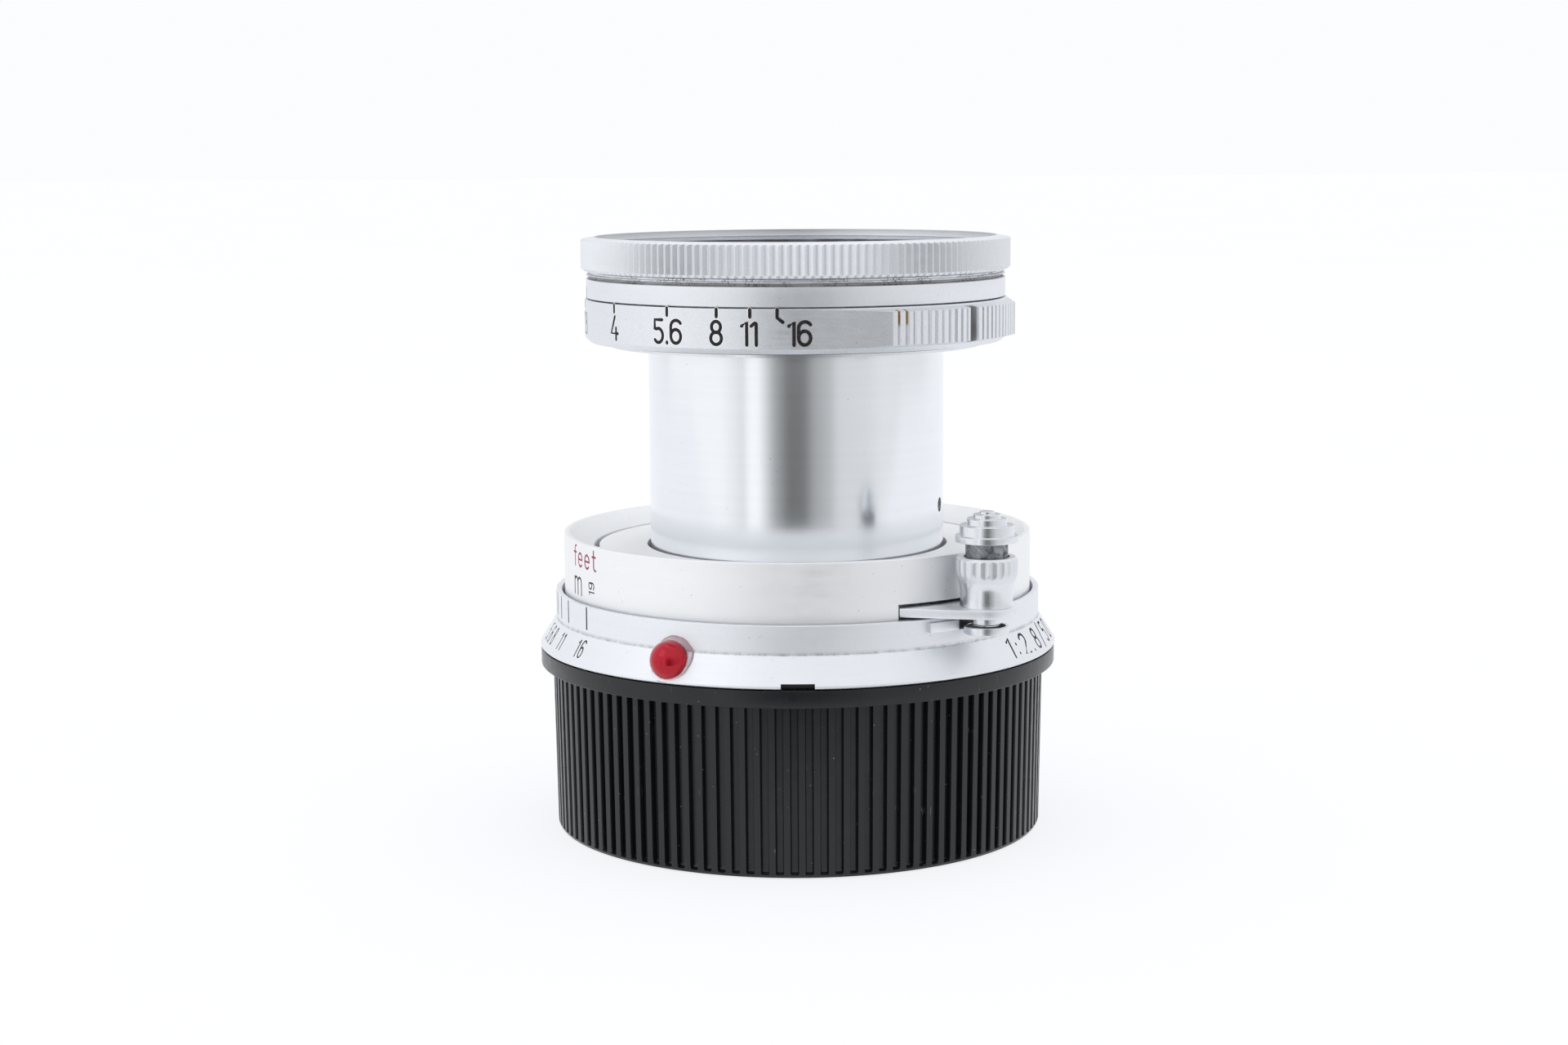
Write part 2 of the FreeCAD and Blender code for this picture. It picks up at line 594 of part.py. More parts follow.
def make_front_ring():
    low, high = FRONT_Z
    ring = turned([(16.9, low), (FRONT_R - 0.45, low), (FRONT_R, low + 0.3), (FRONT_R, high - 0.1),
                   (FRONT_R - 0.12, high), (RIM_R, RIM_Z), (THREAD_R, RIM_Z - 0.35), (THREAD_R, THREAD_FLOOR),
                   (16.9, THREAD_FLOOR)])
    teeth = []
    for azimuth in evenly(FRONT_TEETH):
        teeth.append(polar(FRONT_R, azimuth))
        teeth.append(polar(FRONT_R - FRONT_TOOTH_DEPTH, azimuth + 180.0 / FRONT_TEETH))
    save("front_ring", ring.common(prism(teeth, low - 1.0, RIM_Z + 1.0)))


def make_name_ring():
    low, high = CELL_TOP + 0.03, THREAD_FLOOR - 0.03
    save("name_ring", turned([(10.7, low), (16.8, low), (16.8, high), (15.6, high), (10.7, low + 0.4)]))


# ---- glass and its cells -------------------------------------------------------------------------

def make_front_cell():
    """Carries the first two elements; its snout reaches down inside the iris cam ring."""
    low, snout = CAVITY_Z[1], SECOND_SEAT - 0.2
    save("front_cell", turned([(8.3, snout), (9.9, snout), (9.9, low), (16.45, low), (16.45, CELL_TOP),
                               (10.45, CELL_TOP), (10.45, FRONT_LEDGE), (9.0, FRONT_LEDGE),
                               (9.0, SECOND_SEAT), (8.3, SECOND_SEAT)]))


def make_front_retaining_ring():
    save("front_retaining_ring", tube(9.6, 10.45, CELL_TOP - 0.54, CELL_TOP))


def make_elements():
    flat = 4000.0
    save("front_element", element(10.4, 55.2, 30.0, FRONT_LEDGE, -flat))
    save("second_element", element(8.98, SECOND_SEAT + 1.1, -73.0, SECOND_SEAT + 0.3, 134.0))
    cemented_z, cemented_radius = 45.9, 22.0
    save("rear_doublet_front", element(8.7, 46.9, -76.0, cemented_z, cemented_radius))
    save("rear_doublet_back", element(8.7, cemented_z, cemented_radius, 42.6, -40.0))


def make_element_spacer():
    save("element_spacer", tube(8.4, 8.98, FRONT_LEDGE - 0.18, FRONT_LEDGE))


def make_rear_cell():
    save("rear_cell", turned([(8.75, 42.6), (12.0, 42.6), (12.0, 46.8), (TUBE_BORE_R, 46.8),
                              (TUBE_BORE_R, TUBE_Z[1]), (8.0, TUBE_Z[1]), (8.0, 47.42), (8.75, 47.42)]))


def make_rear_retaining_ring():
    save("rear_retaining_ring", tube(8.05, 8.75, 42.6, 43.3))


# ---- all pieces ----------------------------------------------------------------------------------

PIECES = (make_rear_cap, make_bayonet_flange, make_bayonet_screws, make_depth_scale_ring, make_index_bead,
          make_fixed_helicoid, make_cam_guide_key, make_infinity_catch, make_cam_sleeve,
          make_cam_retaining_ring, make_focusing_ring, make_focus_helicoid, make_floor_ring,
          make_barrel_guide_bush, make_focus_lever, make_focus_knob, make_lock_spring, make_lock_button,
          make_lock_pin_foot, make_barrel_brake_ring, make_barrel_tube, make_barrel_screw,
          make_barrel_lug_ring, make_light_baffle, make_head_base_plate, make_base_plate_screws,
          make_iris_housing, make_click_ball, make_click_spring, make_aperture_ring,
          make_aperture_drive_pin, make_iris_cam_ring, make_iris_blades, make_index_ring, make_clamp_ring,
          make_front_ring, make_name_ring, make_front_cell, make_front_retaining_ring, make_elements,
          make_element_spacer, make_rear_cell, make_rear_retaining_ring)

os.makedirs("parts", exist_ok=True)
for make_piece in PIECES:
    make_piece()
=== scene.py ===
"""Collapsible rangefinder camera lens on its deep rear cap: the looks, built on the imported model.

Outlines are written in millimetres, as (radius, height) corners, and scaled to Blender's metres.
An azimuth is counted in degrees from -Y towards +X, so it grows with a right-hand turn about +Z.
"""
import random
from math import acos, atan2, ceil, cos, degrees, hypot, pi, radians, sin, sqrt, tan

import bmesh
import bpy
from bpy.props import FloatProperty, FloatVectorProperty, IntProperty, PointerProperty
from mathutils import Matrix, Vector


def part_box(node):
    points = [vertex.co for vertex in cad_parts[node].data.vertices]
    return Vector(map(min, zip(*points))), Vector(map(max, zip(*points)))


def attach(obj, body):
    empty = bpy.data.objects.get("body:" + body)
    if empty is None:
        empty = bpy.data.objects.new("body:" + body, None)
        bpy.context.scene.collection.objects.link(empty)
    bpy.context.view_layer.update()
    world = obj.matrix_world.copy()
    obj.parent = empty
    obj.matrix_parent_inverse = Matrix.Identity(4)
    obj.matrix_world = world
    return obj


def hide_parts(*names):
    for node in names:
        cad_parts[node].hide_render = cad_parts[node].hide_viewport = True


bl_info = {
    "name": "Collapsible lens looks",
    "version": (1, 0, 0),
    "blender": (4, 5, 0),
    "location": "3D View > Sidebar > Lens",
    "description": "Builds the finish, engraving and studio around a packed collapsible lens",
    "category": "Object",
}

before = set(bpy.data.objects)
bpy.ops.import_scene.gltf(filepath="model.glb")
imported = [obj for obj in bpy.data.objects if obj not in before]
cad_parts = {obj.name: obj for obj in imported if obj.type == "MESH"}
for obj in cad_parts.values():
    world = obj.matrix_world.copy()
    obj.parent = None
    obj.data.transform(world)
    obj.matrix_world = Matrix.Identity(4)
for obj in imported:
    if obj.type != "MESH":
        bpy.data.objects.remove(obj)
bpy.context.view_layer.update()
MM = 0.001

# Sizes that several pieces and finishes share, in millimetres and degrees
CREASE_Z = 20.91
SCALE_WALL_R = 23.92
SKIRT_R = 25.52
SKIRT_Z = 18.33
FOCUS_R = 23.06
COLLAR_R = 20.65
INDEX_R = 20.5
LOBE_R = 21.75
LOBE_Z = (48.75, 51.8)
GRIP_AZIMUTHS = (24.0, 76.0)
GROOVE_AZIMUTHS = (48.3, 51.7)
TOOTH_PITCH = 2.15
FIRST_TOOTH = 1.7
JOIN_Z = 27.1
CAMERA_PLACE = (0.0, -258.37, 66.51)
CAMERA_TURN = (8.10, -0.284, -0.355)
CAMERA_LENS = 60.3
SHEET_SIZE = 6000


# ---- places and outlines -------------------------------------------------------------------------

def polar(r, azimuth, z=0.0):
    """The point at a radius, an azimuth and a height, all in millimetres."""
    a = radians(azimuth)
    return (r * sin(a), -r * cos(a), z)


def reach(node):
    """Outer radius, bottom and top of a CAD node, in millimetres."""
    low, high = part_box(node)
    return high.y / MM, low.z / MM, high.z / MM


def centre_of(node):
    """Plan centre of a round CAD node that stands off the axis, in millimetres."""
    low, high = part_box(node)
    return (low.x + high.x) / 2 / MM, (low.y + high.y) / 2 / MM


def rounded(corners, radius, closed=True, steps=3):
    """A run of corners with each one turned into a small arc; ends of an open run stay."""
    count = len(corners)
    softened = []
    for i, here in enumerate(corners):
        if not closed and i in (0, count - 1):
            softened.append(here)
            continue
        before, after = corners[i - 1], corners[(i + 1) % count]
        a = (before[0] - here[0], before[1] - here[1])
        b = (after[0] - here[0], after[1] - here[1])
        la, lb = hypot(*a), hypot(*b)
        turn = abs(atan2(a[0] * b[1] - a[1] * b[0], a[0] * b[0] + a[1] * b[1]))
        if radius <= 0 or here[0] < 1e-6 or turn > pi - 0.05:
            softened.append(here)
            continue
        back = min(radius / tan(turn / 2), 0.45 * la, 0.45 * lb)
        start = (here[0] + a[0] / la * back, here[1] + a[1] / la * back)
        end = (here[0] + b[0] / lb * back, here[1] + b[1] / lb * back)
        for step in range(steps + 1):
            t = step / steps
            softened.append(tuple(start[k] * (1 - t) ** 2 + here[k] * 2 * t * (1 - t) + end[k] * t * t
                                  for k in (0, 1)))
    return softened


def evenly(count, start=0.0):
    """Azimuths that share out a full turn."""
    return [start + 360.0 * i / count for i in range(count)]


# ---- meshes --------------------------------------------------------------------------------------

def new_piece(name, points, faces, sharp=30.0):
    """A mesh object from millimetre points, shaded smooth except over its sharp corners."""
    mesh = bpy.data.meshes.new(name)
    mesh.from_pydata([(x * MM, y * MM, z * MM) for x, y, z in points], [], faces)
    tidy_mesh(mesh, sharp)
    piece = bpy.data.objects.new(name, mesh)
    bpy.context.scene.collection.objects.link(piece)
    return piece


def tidy_mesh(mesh, sharp):
    """Join doubled points, turn the faces outwards, and shade smooth up to a sharp angle."""
    work = bmesh.new()
    work.from_mesh(mesh)
    bmesh.ops.remove_doubles(work, verts=work.verts, dist=1e-7)
    bmesh.ops.recalc_face_normals(work, faces=work.faces)
    work.to_mesh(mesh)
    work.free()
    mesh.shade_smooth()
    mesh.set_sharp_from_angle(angle=radians(sharp))


def turned(outline, azimuths=None, shape=None, centre=(0.0, 0.0)):
    """Points and faces of a closed outline turned about a vertical axis.

    shape(azimuth, r, z) may give a new radius, for teeth, flutes and grips.
    """
    azimuths = azimuths or evenly(360)
    points = []
    for azimuth in azimuths:
        for r, z in outline:
            if shape:
                r = shape(azimuth, r, z)
            x, y, z = polar(r, azimuth, z)
            points.append((x + centre[0], y + centre[1], z))
    count, turns = len(outline), len(azimuths)
    faces = []
    for i in range(turns):
        j = (i + 1) % turns
        for k in range(count):
            m = (k + 1) % count
            if outline[k][0] > 1e-6 or outline[m][0] > 1e-6:
                faces.append((i * count + k, j * count + k, j * count + m, i * count + m))
    return points, faces


def skin(loops, count, closed=False):
    """Faces that join a row of loops, each of the same number of points."""
    faces = []
    for i in range(loops if closed else loops - 1):
        j = (i + 1) % loops
        for k in range(count):
            m = (k + 1) % count
            faces.append((i * count + k, i * count + m, j * count + m, j * count + k))
    return faces


def turned_piece(name, outline, edge, azimuths=None, shape=None, centre=(0.0, 0.0), sharp=30.0):
    points, faces = turned(rounded(outline, edge), azimuths, shape, centre)
    return new_piece(name, points, faces, sharp)


def ring_piece(name, r_in, r_out, z_low, z_high, edge=0.06, centre=(0.0, 0.0)):
    """A plain ring with softened edges."""
    outline = [(r_in, z_low), (r_out, z_low), (r_out, z_high), (r_in, z_high)]
    return turned_piece(name, outline, edge, centre=centre)


def plate(plan, z_low, z_high, edge):
    """Points and faces of a flat plate with softened edges, from its plan outline."""
    count = len(plan)
    centre = (sum(x for x, y in plan) / count, sum(y for x, y in plan) / count)
    points = []
    for inset, z in ((edge, z_low), (edge * 0.3, z_low + edge * 0.3), (0, z_low + edge),
                     (0, z_high - edge), (edge * 0.3, z_high - edge * 0.3), (edge, z_high)):
        for i, (x, y) in enumerate(plan):
            bx, by = plan[i - 1]
            ax, ay = plan[(i + 1) % count]
            nx, ny = ay - by, bx - ax
            size = hypot(nx, ny) or 1.0
            if nx * (x - centre[0]) + ny * (y - centre[1]) < 0:
                size = -size
            points.append((x - nx / size * inset, y - ny / size * inset, z))
    ends = [tuple(range(count)), tuple(range(5 * count, 6 * count))]
    return points, skin(6, count) + ends


def sector_plan(r_in, r_out, low, high, steps=12):
    """Plan of a piece of a ring between two azimuths."""
    azimuths = [low + (high - low) * i / steps for i in range(steps + 1)]
    outer = [polar(r_out, a)[:2] for a in azimuths]
    return outer + [polar(r_in, a)[:2] for a in reversed(azimuths)]


def carve(piece, *cutters, sharp=30.0):
    """Cut each cutter out of a piece, then throw the cutters away."""
    for cutter in cutters:
        cut = piece.modifiers.new("cut", "BOOLEAN")
        cut.object = cutter
        cut.solver = "EXACT"
        depsgraph = bpy.context.evaluated_depsgraph_get()
        mesh = bpy.data.meshes.new_from_object(piece.evaluated_get(depsgraph))
        piece.modifiers.clear()
        piece.data = mesh
        bpy.data.objects.remove(cutter)
    tidy_mesh(piece.data, sharp)
    return piece


def fit(piece, body, slot, look, *nodes):
    """Give a piece its finish, and let it ride on its body in place of the CAD nodes it stands for."""
    piece.data.materials.clear()
    piece.data.materials.append(finish(look))
    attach(piece, body)
    if nodes:
        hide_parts(*nodes)
    return piece


def refinish(look, *nodes):
    """Give CAD nodes that stay as they are a finish from this file."""
    for name in nodes:
        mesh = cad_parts[name].data
        mesh.materials.clear()
        mesh.materials.append(finish(look))


# ---- shader building -----------------------------------------------------------------------------

def add(tree, kind, inputs=None, **settings):
    """One shader node; an input is a value, or a socket to link it to."""
    node = tree.nodes.new(kind)
    for key, value in settings.items():
        setattr(node, key, value)
    for key, value in (inputs or {}).items():
        if isinstance(value, bpy.types.NodeSocket):
            tree.links.new(value, node.inputs[key])
        else:
            node.inputs[key].default_value = value
    return node


def reckon(tree, operation, *terms):
    """The result of a Math node."""
    node = add(tree, "ShaderNodeMath", dict(enumerate(terms)), operation=operation)
    return node.outputs[0]


def times(tree, first, *others):
    """The product of two or more values."""
    for other in others:
        first = reckon(tree, "MULTIPLY", first, other)
    return first


def plus(tree, first, second):
    return reckon(tree, "ADD", first, second)


def minus(tree, first, second):
    return reckon(tree, "SUBTRACT", first, second)


def spread(tree, value, low, high, to_low=0.0, to_high=1.0):
    """A value carried from one range to another, and held inside it."""
    inputs = {"Value": value, "From Min": low, "From Max": high, "To Min": to_low, "To Max": to_high}
    return add(tree, "ShaderNodeMapRange", inputs).outputs["Result"]


def fade(tree, value, low, high):
    """One below a range, falling to nothing above it."""
    return spread(tree, value, low, high, 1.0, 0.0)


def blend(tree, share, first, second):
    """A colour between two others."""
    node = add(tree, "ShaderNodeMix", {0: share, 6: first, 7: second}, data_type="RGBA")
    return node.outputs[2]


def noise(tree, vector, scale, detail=2.0, roughness=0.5):
    inputs = {"Vector": vector, "Scale": scale, "Detail": detail, "Roughness": roughness}
    return add(tree, "ShaderNodeTexNoise", inputs).outputs["Fac"]


def object_place(tree):
    """Object coordinates in millimetres: the vector, and x, y, z and the distance from the axis."""
    coords = add(tree, "ShaderNodeTexCoord").outputs["Object"]
    vector = add(tree, "ShaderNodeVectorMath", {0: coords, 3: 1.0 / MM}, operation="SCALE").outputs[0]
    split = add(tree, "ShaderNodeSeparateXYZ", {0: vector})
    x, y, z = split.outputs
    r = reckon(tree, "SQRT", plus(tree, times(tree, x, x), times(tree, y, y)))
    return vector, x, y, z, r


def group(name, inputs, outputs):
    """An empty shader group with number inputs and outputs."""
    tree = bpy.data.node_groups.new(name, "ShaderNodeTree")
    for label, value in inputs.items():
        socket = tree.interface.new_socket(label, in_out="INPUT", socket_type="NodeSocketFloat")
        socket.default_value = value
    for label in outputs:
        tree.interface.new_socket(label, in_out="OUTPUT", socket_type="NodeSocketFloat")
    return tree, tree.nodes.new("NodeGroupInput").outputs, tree.nodes.new("NodeGroupOutput")


def brush_marks_group():
    """Fine lines left by turning, drawing or brushing: long one way and narrow the other."""
    sockets = {"Round the axis": 0.3, "Along the axis": 12.0}
    tree, given, out = group("brush_marks", sockets, ("Height", "Streak"))
    _, x, y, z, r = object_place(tree)
    along = times(tree, plus(tree, z, r), given["Along the axis"])
    across = [times(tree, side, given["Round the axis"]) for side in (x, y)]
    place = add(tree, "ShaderNodeCombineXYZ", {0: across[0], 1: across[1], 2: along}).outputs[0]
    tree.links.new(noise(tree, place, 1.0, 3.0, 0.7), out.inputs["Height"])
    wide = add(tree, "ShaderNodeVectorMath", {0: place, 3: 0.16}, operation="SCALE").outputs[0]
    tree.links.new(spread(tree, noise(tree, wide, 1.0, 2.0), 0.35, 0.65), out.inputs["Streak"])
    return tree


def satin_grain_group():
    """The even, sandy grain of satin chrome, with slow cloudiness over it."""
    tree, given, out = group("satin_grain", {"Grains per mm": 9.0}, ("Height", "Cloud"))
    vector = object_place(tree)[0]
    tree.links.new(noise(tree, vector, given["Grains per mm"], 2.0, 0.8), out.inputs["Height"])
    tree.links.new(spread(tree, noise(tree, vector, 0.22, 3.0), 0.3, 0.7), out.inputs["Cloud"])
    return tree


def handling_group():
    """What years of use leave: specks of dust, fine scratches and rubbed patches."""
    tree, given, out = group("handling", {"Dust": 0.5, "Scratches": 0.5}, ("Dust", "Scratch", "Rubbed"))
    vector = object_place(tree)[0]
    cells = add(tree, "ShaderNodeTexVoronoi", {"Vector": vector, "Scale": 1.1, "Randomness": 1.0})
    speck = fade(tree, cells.outputs["Distance"], 0.03, 0.09)
    some = spread(tree, noise(tree, vector, 0.5, 1.0), 0.48, 0.6)
    tree.links.new(times(tree, speck, some, given["Dust"]), out.inputs["Dust"])
    bent = add(tree, "ShaderNodeMapping",
               {"Vector": vector, "Rotation": (0.4, 0.9, 0.3), "Scale": (0.25, 9.0, 0.6)})
    hair = spread(tree, noise(tree, bent.outputs[0], 0.8, 1.0), 0.735, 0.755)
    where = spread(tree, noise(tree, vector, 0.35, 1.0), 0.45, 0.6)
    tree.links.new(times(tree, hair, where, given["Scratches"]), out.inputs["Scratch"])
    tree.links.new(spread(tree, noise(tree, vector, 0.8, 4.0, 0.65), 0.42, 0.68), out.inputs["Rubbed"])
    return tree


def grime_group():
    """Old dirt that sits in broken patches."""
    tree, given, out = group("grime", {"Patches per mm": 0.9, "Cover": 0.5}, ("Dirt", "Crumbs"))
    vector = object_place(tree)[0]
    patch = noise(tree, vector, given["Patches per mm"], 5.0, 0.7)
    edge = minus(tree, 1.0, given["Cover"])
    rise = plus(tree, edge, 0.14)
    tree.links.new(spread(tree, patch, edge, rise), out.inputs["Dirt"])
    tree.links.new(noise(tree, vector, 6.0, 2.0), out.inputs["Crumbs"])
    return tree


GROUPS = {}


def effect(tree, name, **given):
    """Place a shared effect in a material, with its own values."""
    makers = {"brush_marks": brush_marks_group, "satin_grain": satin_grain_group,
              "handling": handling_group, "grime": grime_group}
    if name not in GROUPS:
        GROUPS[name] = makers[name]()
    node = tree.nodes.new("ShaderNodeGroup")
    node.node_tree = GROUPS[name]
    for label, value in given.items():
        node.inputs[label.replace("_", " ")].default_value = value
    return node.outputs


def blank(name, metallic, roughness, **sockets):
    """A new material; constants go straight on the shader."""
    material = bpy.data.materials.new(name)
    material.use_nodes = True
    shader = material.node_tree.nodes["Principled BSDF"]
    shader.inputs["Metallic"].default_value = metallic
    shader.inputs["Roughness"].default_value = roughness
    for label, value in sockets.items():
        shader.inputs[label.replace("_", " ")].default_value = value
    return material, material.node_tree, shader


def relief(tree, shader, height, depth):
    """Bump by a height field, depth in millimetres."""
    bump = add(tree, "ShaderNodeBump", {"Height": height, "Distance": depth * MM, "Strength": 1.0})
    tree.links.new(bump.outputs[0], shader.inputs["Normal"])


def paint_from(tree, shader, colour, roughness=None):
    """Link a colour, and perhaps a roughness, to the shader."""
    tree.links.new(colour, shader.inputs["Base Color"])
    if roughness is not None:
        tree.links.new(roughness, shader.inputs["Roughness"])


def opaque(colour):
    return tuple(colour[:3]) + (1.0,)


def shade(colour, factor):
    """A colour made darker or lighter."""
    return tuple(c * factor for c in colour[:3]) + (1.0,)


def colours():
    return bpy.context.scene.lens_colours


def sizes():
    return bpy.context.scene.lens_sizes


def reopen(material):
    """A made material's tree, shader and colour so far, for something to be laid over it."""
    tree = material.node_tree
    shader = tree.nodes["Principled BSDF"]
    return tree, shader, shader.inputs["Base Color"].links[0].from_socket


# ---- finishes ------------------------------------------------------------------------------------

def chrome(name, colour, roughness, around, along, grain, depth, metallic=1.0, dirt=0.0, spread_by=0.06,
           rubbed=0.04, sandy=0.94):
    """Plated brass: a brushed or drawn ground, satin grain over it, then rubbing, scratches and dirt."""
    material, tree, shader = blank(name, metallic, roughness)
    marks = effect(tree, "brush_marks", Round_the_axis=around, Along_the_axis=along)
    sand = effect(tree, "satin_grain", Grains_per_mm=grain)
    use = effect(tree, "handling", Dust=0.5, Scratches=0.4)
    tone = blend(tree, marks["Streak"], shade(colour, 0.965), opaque(colour))
    tone = blend(tree, times(tree, sand["Cloud"], 0.3), tone, shade(colour, 0.95))
    tone = blend(tree, spread(tree, sand["Height"], 0.35, 0.65), tone, shade(colour, sandy))
    tone = blend(tree, times(tree, use["Dust"], 0.8), tone, (0.12, 0.115, 0.11, 1.0))
    if dirt:
        soil = effect(tree, "grime", Patches_per_mm=0.9, Cover=dirt)
        tone = blend(tree, times(tree, soil["Dirt"], 0.5), tone, (0.2, 0.185, 0.165, 1.0))
    rough = spread(tree, marks["Height"], 0.2, 0.8, roughness - spread_by, roughness + spread_by)
    rough = plus(tree, rough, times(tree, use["Rubbed"], -rubbed))
    paint_from(tree, shader, tone, rough)
    height = plus(tree, marks["Height"], times(tree, sand["Height"], 0.8))
    height = minus(tree, height, times(tree, use["Scratch"], 1.5))
    relief(tree, shader, height, depth)
    return material


def satin_chrome(name="satin_chrome", roughness=0.46, depth=0.003, sandy=0.92):
    return chrome(name, colours().satin, roughness, 0.25, 5.0, 7.0, depth, sandy=sandy)


def satin_chrome_grip():
    """The aperture ring's satin: brass showing on two serrations of its grip, and a groove of darker colour
    with a brown stain.
    """
    material = satin_chrome("satin_chrome_grip", 0.44, 0.004, 0.88)
    tree, shader, tone = reopen(material)
    vector, x, y, z, r = object_place(tree)
    azimuth = times(tree, reckon(tree, "ARCTAN2", x, times(tree, y, -1.0)), 180 / pi)
    high = spread(tree, plus(tree, z, noise(tree, vector, 1.5)), 50.9, 51.3)
    flank = times(tree, fade(tree, r, LOBE_R - 0.11, LOBE_R - 0.03), spread(tree, r, 21.0, 21.1), high)
    worn = 0.0
    for tooth in (0, 1):
        middle = GRIP_AZIMUTHS[0] + FIRST_TOOTH + tooth * TOOTH_PITCH
        away = reckon(tree, "ABSOLUTE", minus(tree, azimuth, middle))
        worn = reckon(tree, "MAXIMUM", worn, fade(tree, away, 0.3, 0.45))
    tone = blend(tree, times(tree, worn, flank), tone, opaque(colours().brass))
    # The groove's colour is darkened, with a brown stain low on its left side
    across = minus(tree, azimuth, sum(GROOVE_AZIMUTHS) / 2)
    within = times(tree, fade(tree, reckon(tree, "ABSOLUTE", across), 1.45, 1.75),
                   fade(tree, r, 21.45, 21.7), spread(tree, r, 20.9, 21.0))
    tone = blend(tree, within, tone, shade(colours().satin, 0.42))
    cloud = noise(tree, vector, 0.9, 3.0)
    low = fade(tree, plus(tree, z, cloud), 50.3, 51.5)
    left = fade(tree, plus(tree, across, cloud), 0.2, 1.2)
    brown = times(tree, low, left, within)
    paint_from(tree, shader, blend(tree, brown, tone, (0.13, 0.085, 0.05, 1.0)))
    return material


def knurled_chrome():
    """The front ring's satin, with painted shade on the upper part of its inside wall and patchy painted
    shade in its filter thread.
    """
    material = satin_chrome("knurled_chrome")
    tree, shader, tone = reopen(material)
    vector, _, _, z, r = object_place(tree)
    inside = fade(tree, r, 19.66, 19.72)
    # Painted shade: the top of the inside wall is darkened towards half its colour
    wall = times(tree, inside, spread(tree, z, 57.48, 57.56, 0.0, 0.35))
    # Painted shade in the filter thread, broken into patches by noise
    patchy_shade = spread(tree, noise(tree, vector, 0.7, 3.0), 0.3, 0.6, 0.7, 1.0)
    thread = times(tree, inside, fade(tree, z, 56.85, 57.05), spread(tree, r, 18.95, 19.15))
    tone = blend(tree, wall, tone, shade(colours().satin, 0.5))
    paint_from(tree, shader, blend(tree, times(tree, thread, patchy_shade), tone, (0.11, 0.1, 0.092, 1.0)))
    return material


def focus_chrome():
    return chrome("focus_chrome", colours().focus, 0.56, 0.3, 3.0, 7.0, 0.0016, metallic=0.9, dirt=0.3,
                  sandy=0.97)


def scale_chrome():
    """The scale ring's chrome, darker in broken patches along the crease between its wall and its cone."""
    material = chrome("scale_chrome", colours().satin, 0.5, 0.12, 14.0, 8.0, 0.0016, metallic=0.95, dirt=0.34)
    tree, shader, tone = reopen(material)
    vector, _, _, z, r = object_place(tree)
    # A darker colour laid in broken patches along the crease between wall and cone
    crease = times(tree, fade(tree, z, CREASE_Z + 0.02, CREASE_Z + 0.34),
                   spread(tree, z, CREASE_Z - 0.11, CREASE_Z - 0.01))
    broken = spread(tree, noise(tree, vector, 1.1, 4.0, 0.7), 0.36, 0.66, 0.1, 0.75)
    outside = spread(tree, r, SCALE_WALL_R - 0.12, SCALE_WALL_R - 0.02)
    crease_darkening = times(tree, crease, broken, outside)
    paint_from(tree, shader, blend(tree, crease_darkening, tone, (0.3, 0.29, 0.27, 1.0)))
    return material


def bright_chrome():
    return chrome("bright_chrome", colours().bright, 0.24, 0.3, 8.0, 5.0, 0.0006, spread_by=0.05)


def fluted_chrome():
    return chrome("fluted_chrome", colours().bright, 0.42, 0.3, 8.0, 5.0, 0.001, spread_by=0.05)


def turned_chrome():
    """The sliding tube: fine turned lines smear what it reflects up and down, but not sideways."""
    material = chrome("turned_chrome", colours().barrel, 0.185, 0.1, 9.0, 9.0, 0.0007, spread_by=0.02,
                      rubbed=0.008, sandy=0.96)
    shader = material.node_tree.nodes["Principled BSDF"]
    shader.inputs["Anisotropic"].default_value = 0.5
    shader.inputs["Anisotropic Rotation"].default_value = 0.25
    return material


def metal(name, colour, roughness):
    return chrome(name, colour, roughness, 0.3, 8.0, 5.0, 0.001)


def grimy_chrome():
    """The hood groove: a clean ridge between lines of packed dirt, crumbs under the knurl."""
    material, tree, shader = blank("grimy_chrome", 0.8, 0.5)
    soil = effect(tree, "grime", Patches_per_mm=0.5, Cover=0.56)
    marks = effect(tree, "brush_marks", Round_the_axis=0.25, Along_the_axis=16.0)
    vector, _, _, z, _ = object_place(tree)
    uneven = times(tree, minus(tree, noise(tree, vector, 0.8, 3.0), 0.5), 0.14)
    level = plus(tree, z, uneven)
    below = fade(tree, level, 54.5, 54.56)
    above = spread(tree, level, 54.73, 54.79)
    packed = times(tree, below, spread(tree, marks["Height"], 0.3, 0.62, 0.35, 0.85))
    crumbs = times(tree, spread(tree, soil["Crumbs"], 0.5, 0.62), soil["Dirt"])
    tone = blend(tree, packed, opaque(colours().satin), (0.27, 0.265, 0.255, 1.0))
    tone = blend(tree, times(tree, above, 0.6), tone, (0.16, 0.15, 0.145, 1.0))
    tone = blend(tree, times(tree, crumbs, 0.9), tone, (0.05, 0.045, 0.04, 1.0))
    paint_from(tree, shader, tone, spread(tree, packed, 0.0, 1.0, 0.35, 0.7))
    relief(tree, shader, plus(tree, marks["Height"], soil["Crumbs"]), 0.008)
    return material


def greasy_steel():
    """Steel under old grease, wiped round in dark smears."""
    material, tree, shader = blank("greasy_steel", 0.8, 0.4)
    soil = effect(tree, "grime", Patches_per_mm=0.8, Cover=0.5)
    marks = effect(tree, "brush_marks", Round_the_axis=0.6, Along_the_axis=2.2)
    smear = plus(tree, marks["Height"], times(tree, soil["Dirt"], 0.35))
    smear = spread(tree, smear, 0.35, 0.8)
    tone = blend(tree, smear, (0.4, 0.42, 0.44, 1.0), (0.05, 0.05, 0.055, 1.0))
    paint_from(tree, shader, tone, spread(tree, soil["Crumbs"], 0.3, 0.7, 0.3, 0.6))
    relief(tree, shader, soil["Crumbs"], 0.008)
    return material


